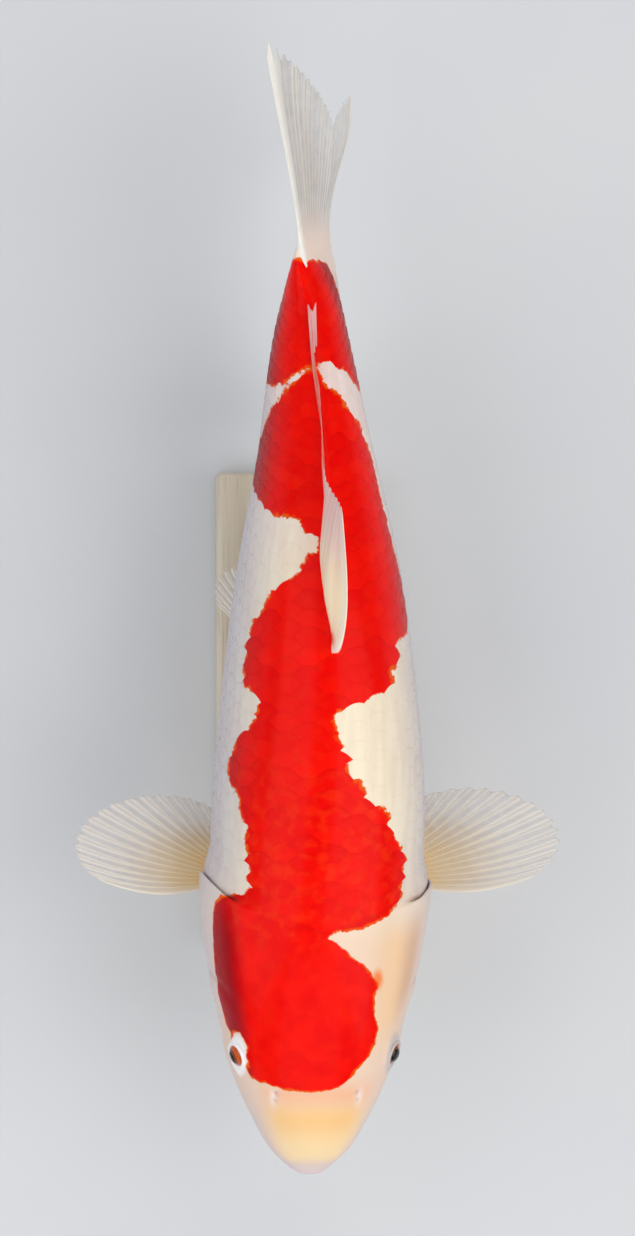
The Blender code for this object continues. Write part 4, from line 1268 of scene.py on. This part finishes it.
class Finish:
    """A Principled material, with short ways to add nodes to it."""

    def __init__(self, name, **constants):
        self.material = bpy.data.materials.new(name)
        self.material.use_nodes = True
        self.tree = self.material.node_tree
        self.shader = self.tree.nodes["Principled BSDF"]
        for key, value in constants.items():
            self.shader.inputs[key.replace("_", " ").title().replace("Ior", "IOR")].default_value = value

    def node(self, kind, inputs, output=0, **settings):
        """Add a node; an input is a number, a colour or another node's output."""
        made = self.tree.nodes.new("ShaderNode" + kind)
        for key, value in settings.items():
            setattr(made, key, value)
        for key, value in inputs.items():
            if isinstance(value, bpy.types.NodeSocket):
                self.tree.links.new(value, made.inputs[key])
            else:
                made.inputs[key].default_value = value
        return made.outputs[output]

    def attribute(self, name, output="Fac"):
        """A painted value of the mesh."""
        return self.node("Attribute", {}, output, attribute_name=name)

    def math(self, operation, a, b=0.0):
        """Arithmetic on two numbers."""
        return self.node("Math", {0: a, 1: b}, operation=operation)

    def noise(self, scale, detail=3.0, stretch=None):
        """Noise in the model's own space, in features per metre."""
        where = self.node("TexCoord", {}, "Object")
        if stretch:
            where = self.node("Mapping", {"Vector": where, "Scale": stretch})
        return self.node("TexNoise", {"Vector": where, "Scale": scale, "Detail": detail}, "Fac")

    def between(self, value, low, high, start=0.0, end=1.0, smooth=True):
        """Value mapped from one range to another."""
        ends = {"Value": value, "From Min": low, "From Max": high, "To Min": start, "To Max": end}
        kind = "SMOOTHSTEP" if smooth else "LINEAR"
        return self.node("MapRange", ends, interpolation_type=kind)

    def clouds(self, scale, start=0.0, end=1.0, smooth=True):
        """Noise spread over a range of values."""
        return self.between(self.noise(scale), 0.3, 0.7, start, end, smooth)

    def blend(self, share, a, b, mode="MIX"):
        """Mix of two colours."""
        return self.node("Mix", {0: share, 6: a, 7: b}, 2, data_type="RGBA", blend_type=mode)

    def bump(self, height, distance, strength=1.0, normal=None):
        """Surface relief, its height in metres."""
        inputs = {"Height": height, "Distance": distance, "Strength": strength}
        if normal is not None:
            inputs["Normal"] = normal
        return self.node("Bump", inputs)

    def link(self, socket, key):
        """Drive one input of the shader."""
        self.tree.links.new(socket, self.shader.inputs[key])


def colour(red, green, blue):
    """Opaque linear colour from display values."""
    return (*rgb(red, green, blue), 1.0)


def flesh_colour(finish, plates):
    """Painted white ground with the red patches, whose edges follow noise or the scales."""
    depth = finish.attribute("red")
    ragged = finish.math("ADD", depth, finish.clouds(170.0, -1.0, 1.0, False))
    if plates:
        ragged = finish.math("ADD", ragged, finish.clouds(480.0, -0.5, 0.5, False))
    share = finish.between(ragged, -0.40, 0.40)
    mottle = finish.attribute("vary") if plates else finish.between(finish.noise(70.0), 0.35, 0.7)
    red = finish.blend(mottle, colour(242, 2, 0), colour(255, 14, 0))
    glow = finish.between(finish.noise(150.0, 2.0), 0.45, 0.70, 0.0, 0.55)
    red = finish.blend(finish.math("MULTIPLY", glow, finish.attribute("warm")), red, colour(255, 50, 8))
    # Painted shade: the red darkens to crimson towards the flanks
    red = finish.blend(finish.attribute("deep"), red, colour(164, 0, 18))
    drifted = finish.math("ADD", ragged, finish.clouds(60.0, -1.2, 0.6))
    fringe = finish.between(drifted, 0.0, 1.5, 1.0, 0.0)
    red = finish.blend(fringe, red, colour(240, 92, 8))
    white = finish.attribute("tone", "Color")
    if plates:
        streaks = finish.between(finish.noise(180.0, 3.0, (1.0, 0.16, 1.0)), 0.35, 0.65, 0.0, 0.35)
        white = finish.blend(streaks, white, finish.blend(1.0, white, colour(240, 226, 228), "MULTIPLY"))
    ground = finish.blend(share, white, red)
    # Painted shade of the head's hollows and the cheek's groove, weaker inside the red
    dusk = finish.math("MULTIPLY", finish.attribute("dusk"), finish.between(depth, 0.0, 2.0, 1.0, 0.3))
    return finish.blend(dusk, ground, finish.blend(1.0, ground, colour(206, 184, 170), "MULTIPLY"))


FLESH_GLOSS = {
    "specular_ior_level": 0.06, "coat_weight": 0.06, "coat_roughness": 0.08,
    "subsurface_weight": 0.05, "subsurface_radius": (0.0025, 0.0010, 0.0006), "subsurface_scale": 1.0,
}


def skin_material():
    """Smooth wet skin, fine-grained, with painted dark-red shade in the gill slits."""
    finish = Finish("wet skin", **FLESH_GLOSS)
    ground = flesh_colour(finish, False)
    # Painted dark-red shade in the gill slits
    slit = finish.math("MULTIPLY", finish.attribute("fold"), 0.8)
    finish.link(finish.blend(slit, ground, colour(132, 70, 66)), "Base Color")
    pores = finish.noise(1400.0, 2.0)
    swell = finish.noise(160.0, 3.0)
    finish.link(finish.bump(pores, 0.00010, 0.4, finish.bump(swell, 0.0005, 0.30)), "Normal")
    finish.link(finish.between(swell, 0.3, 0.7, 0.28, 0.42), "Roughness")
    return finish.material


def scale_material():
    """Thin glossy plates with growth rings and a darker free edge, partly the scales' own net in the red
    and partly painted shade that grows towards the flanks.
    """
    finish = Finish("wet scales", **FLESH_GLOSS)
    ground = flesh_colour(finish, True)
    # Darker free edges: in the red partly the scales' own net, and painted shade growing towards the flanks
    rim = finish.between(finish.attribute("tip"), 0.66, 1.0, 0.0, 0.45)
    strength = finish.between(finish.attribute("red"), 0.0, 3.0, 0.0, 0.14)
    flank = finish.between(finish.attribute("red"), -2.0, 2.0, 0.30, 1.0)
    flank = finish.math("MULTIPLY", flank, finish.attribute("deep"))
    rim = finish.math("MULTIPLY", rim, finish.math("ADD", strength, flank))
    shaded = finish.blend(1.0, ground, colour(206, 196, 196), "MULTIPLY")
    finish.link(finish.blend(rim, ground, shaded), "Base Color")
    rings = finish.math("SINE", finish.math("MULTIPLY", finish.attribute("tip"), 70.0))
    grain = finish.math("ADD", finish.math("MULTIPLY", rings, 0.25), finish.noise(900.0, 2.0))
    finish.link(finish.bump(grain, 0.00006, 0.35), "Normal")
    finish.link(finish.clouds(220.0, 0.26, 0.42), "Roughness")
    return finish.material


def fin_material():
    """Milky membrane, clearer between the rays, with jointed rays."""
    finish = Finish("fin membrane", roughness=0.42, specular_ior_level=0.20, coat_weight=0.08,
                    coat_roughness=0.15, subsurface_weight=0.10, subsurface_scale=1.0,
                    subsurface_radius=(0.002, 0.0015, 0.0012))
    cloud = finish.clouds(140.0, 0.0, 0.18)
    tone = finish.blend(cloud, finish.attribute("tone", "Color"), colour(255, 250, 240))
    finish.link(tone, "Base Color")
    cover = finish.math("SUBTRACT", finish.attribute("cover"), finish.math("MULTIPLY", cloud, 0.25))
    finish.link(cover, "Alpha")
    joints = finish.math("SINE", finish.math("MULTIPLY", finish.attribute("reach"), 230.0))
    joints = finish.math("MULTIPLY", joints, finish.attribute("ray"))
    finish.link(finish.bump(joints, 0.00010, 0.35), "Normal")
    return finish.material


def eye_material():
    """Black pupil, orange-brown iris with fibres and a gold inner line, pale outer ring."""
    finish = Finish("eye", roughness=0.22, specular_ior_level=0.20, coat_weight=0.40, coat_roughness=0.02)
    reach = finish.attribute("reach")
    around = finish.math("MULTIPLY", finish.attribute("spin"), 9.0)
    outwards = finish.math("MULTIPLY", reach, 0.06)
    grain = finish.node("CombineXYZ", {"X": around, "Y": outwards})
    fibres = finish.node("TexNoise", {"Vector": grain, "Scale": 3.0, "Detail": 4.0}, "Fac")
    iris = finish.blend(finish.between(fibres, 0.3, 0.7), colour(176, 62, 16), colour(226, 104, 34))
    iris = finish.blend(finish.between(reach, 28.5, 36.0), colour(84, 30, 16), iris)
    iris = finish.blend(finish.between(reach, 60.0, 70.0), iris, colour(196, 150, 124))
    gold = finish.blend(finish.between(reach, 27.0, 29.0), colour(176, 104, 48), iris)
    finish.link(finish.blend(finish.between(reach, 25.0, 27.0), colour(6, 4, 5), gold), "Base Color")
    return finish.material


def wood_material():
    """Pale satin wood, its grain along the base."""
    finish = Finish("pale wood", roughness=0.45, coat_weight=0.15, coat_roughness=0.25)
    grain = finish.noise(60.0, 6.0, (1.0, 0.06, 1.0))
    pores = finish.noise(900.0, 3.0, (1.0, 0.03, 1.0))
    tone = finish.blend(finish.between(grain, 0.35, 0.65), colour(196, 182, 160), colour(216, 205, 186))
    tone = finish.blend(finish.between(pores, 0.55, 0.75, 0.0, 0.5), tone, colour(168, 150, 124))
    finish.link(tone, "Base Color")
    finish.link(finish.bump(pores, 0.0001, 0.3), "Normal")
    return finish.material


def steel_material():
    """Satin steel, brushed round the rods."""
    finish = Finish("satin steel", metallic=1.0, base_color=colour(186, 184, 180))
    brushed = finish.noise(500.0, 3.0, (0.1, 0.1, 6.0))
    finish.link(finish.between(brushed, 0.3, 0.7, 0.24, 0.40), "Roughness")
    finish.link(finish.bump(brushed, 0.00005, 0.4), "Normal")
    return finish.material


def floor_material():
    """Plain pale floor."""
    finish = Finish("pale floor", roughness=0.75)
    cloud = finish.noise(3.0)
    finish.link(finish.between(cloud, 0.3, 0.7, 0.70, 0.80), "Roughness")
    tone = finish.blend(finish.between(cloud, 0.3, 0.7), colour(212, 214, 218), colour(217, 219, 221))
    finish.link(tone, "Base Color")
    return finish.material


# ---------------------------------------------------------------- studio

CAMERA_DISTANCE = 1.9
CAMERA_TILT = math.radians(6.0)
PICTURE_HEIGHT = 0.7085
PICTURE_MIDDLE = (0.0009, 0.0567, AXIS_HEIGHT)
SENSOR = 24.0


def make_camera():
    """Camera above the fish, tilted a little towards its right side."""
    data = bpy.data.cameras.new("camera")
    camera = add_object("camera", data)
    forward = Vector((math.sin(CAMERA_TILT), 0.0, -math.cos(CAMERA_TILT)))
    up = Vector((0.0, 1.0, 0.0))
    turn = Matrix((forward.cross(up), up, -forward)).transposed().to_4x4()
    camera.matrix_world = Matrix.Translation(Vector(PICTURE_MIDDLE) - forward * CAMERA_DISTANCE) @ turn
    data.sensor_fit = "VERTICAL"
    data.sensor_height = SENSOR
    data.lens = SENSOR * CAMERA_DISTANCE / PICTURE_HEIGHT
    bpy.context.scene.camera = camera


def area_light(name, place_at, aim, size, power, tint=(1.0, 1.0, 1.0)):
    """Square soft light aimed at a point."""
    data = bpy.data.lights.new(name, "AREA")
    data.size = size
    data.energy = power
    data.color = tint
    light = add_object(name, data)
    light.location = place_at
    light.rotation_euler = (Vector(aim) - Vector(place_at)).to_track_quat("-Z", "Y").to_euler()


def make_studio():
    """Floor, soft lights and a pale surround."""
    mesh = bpy.data.meshes.new("floor")
    mesh.from_pydata([(-30, -30, 0), (30, -30, 0), (30, 30, 0), (-30, 30, 0)], [], [(0, 1, 2, 3)])
    floor = add_object("floor", mesh)
    mesh.materials.append(floor_material())
    middle = (0.0, 0.02, AXIS_HEIGHT)
    area_light("key", (2.1, -0.8, 2.8), middle, 3.6, 80.0, (1.0, 0.98, 0.95))
    area_light("fill", (-2.5, -0.3, 2.2), middle, 3.2, 50.0, (0.96, 0.98, 1.0))
    area_light("rear", (0.1, 2.8, 2.2), middle, 3.0, 31.0)
    area_light("front", (-0.3, -3.0, 2.0), middle, 3.0, 29.0)
    world = bpy.data.worlds.new("surround")
    bpy.context.scene.world = world
    world.use_nodes = True
    world.node_tree.nodes["Background"].inputs["Color"].default_value = (0.92, 0.95, 1.0, 1.0)
    world.node_tree.nodes["Background"].inputs["Strength"].default_value = 0.22
    bpy.context.scene.view_settings.view_transform = "Standard"


def dress_stand(frame):
    """Wood and steel on the stand's own solids."""
    finishes = {"stand_base": wood_material(), "stand_rod_front": steel_material()}
    finishes["stand_rod_rear"] = finishes["stand_rod_front"]
    for node, material in finishes.items():
        for slot in frame["nodes"][node].material_slots:
            slot.material = material


def main():
    """Dress the solids and set up the studio."""
    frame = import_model()
    make_camera()
    make_studio()
    make_skin(skin_material())
    plates = scale_material()
    make_scales("scales_left", range(0, SCALE_HALF + 1), plates)
    make_scales("scales_right", range(1 - SCALE_HALF, 0), plates)
    make_eyes(eye_material())
    fin = fin_material()
    make_tail_fin(fin)
    make_dorsal_fin(fin)
    make_anal_fin(fin)
    make_pectoral_fins(fin)
    make_pelvic_fins(fin)
    dress_stand(frame)


main()
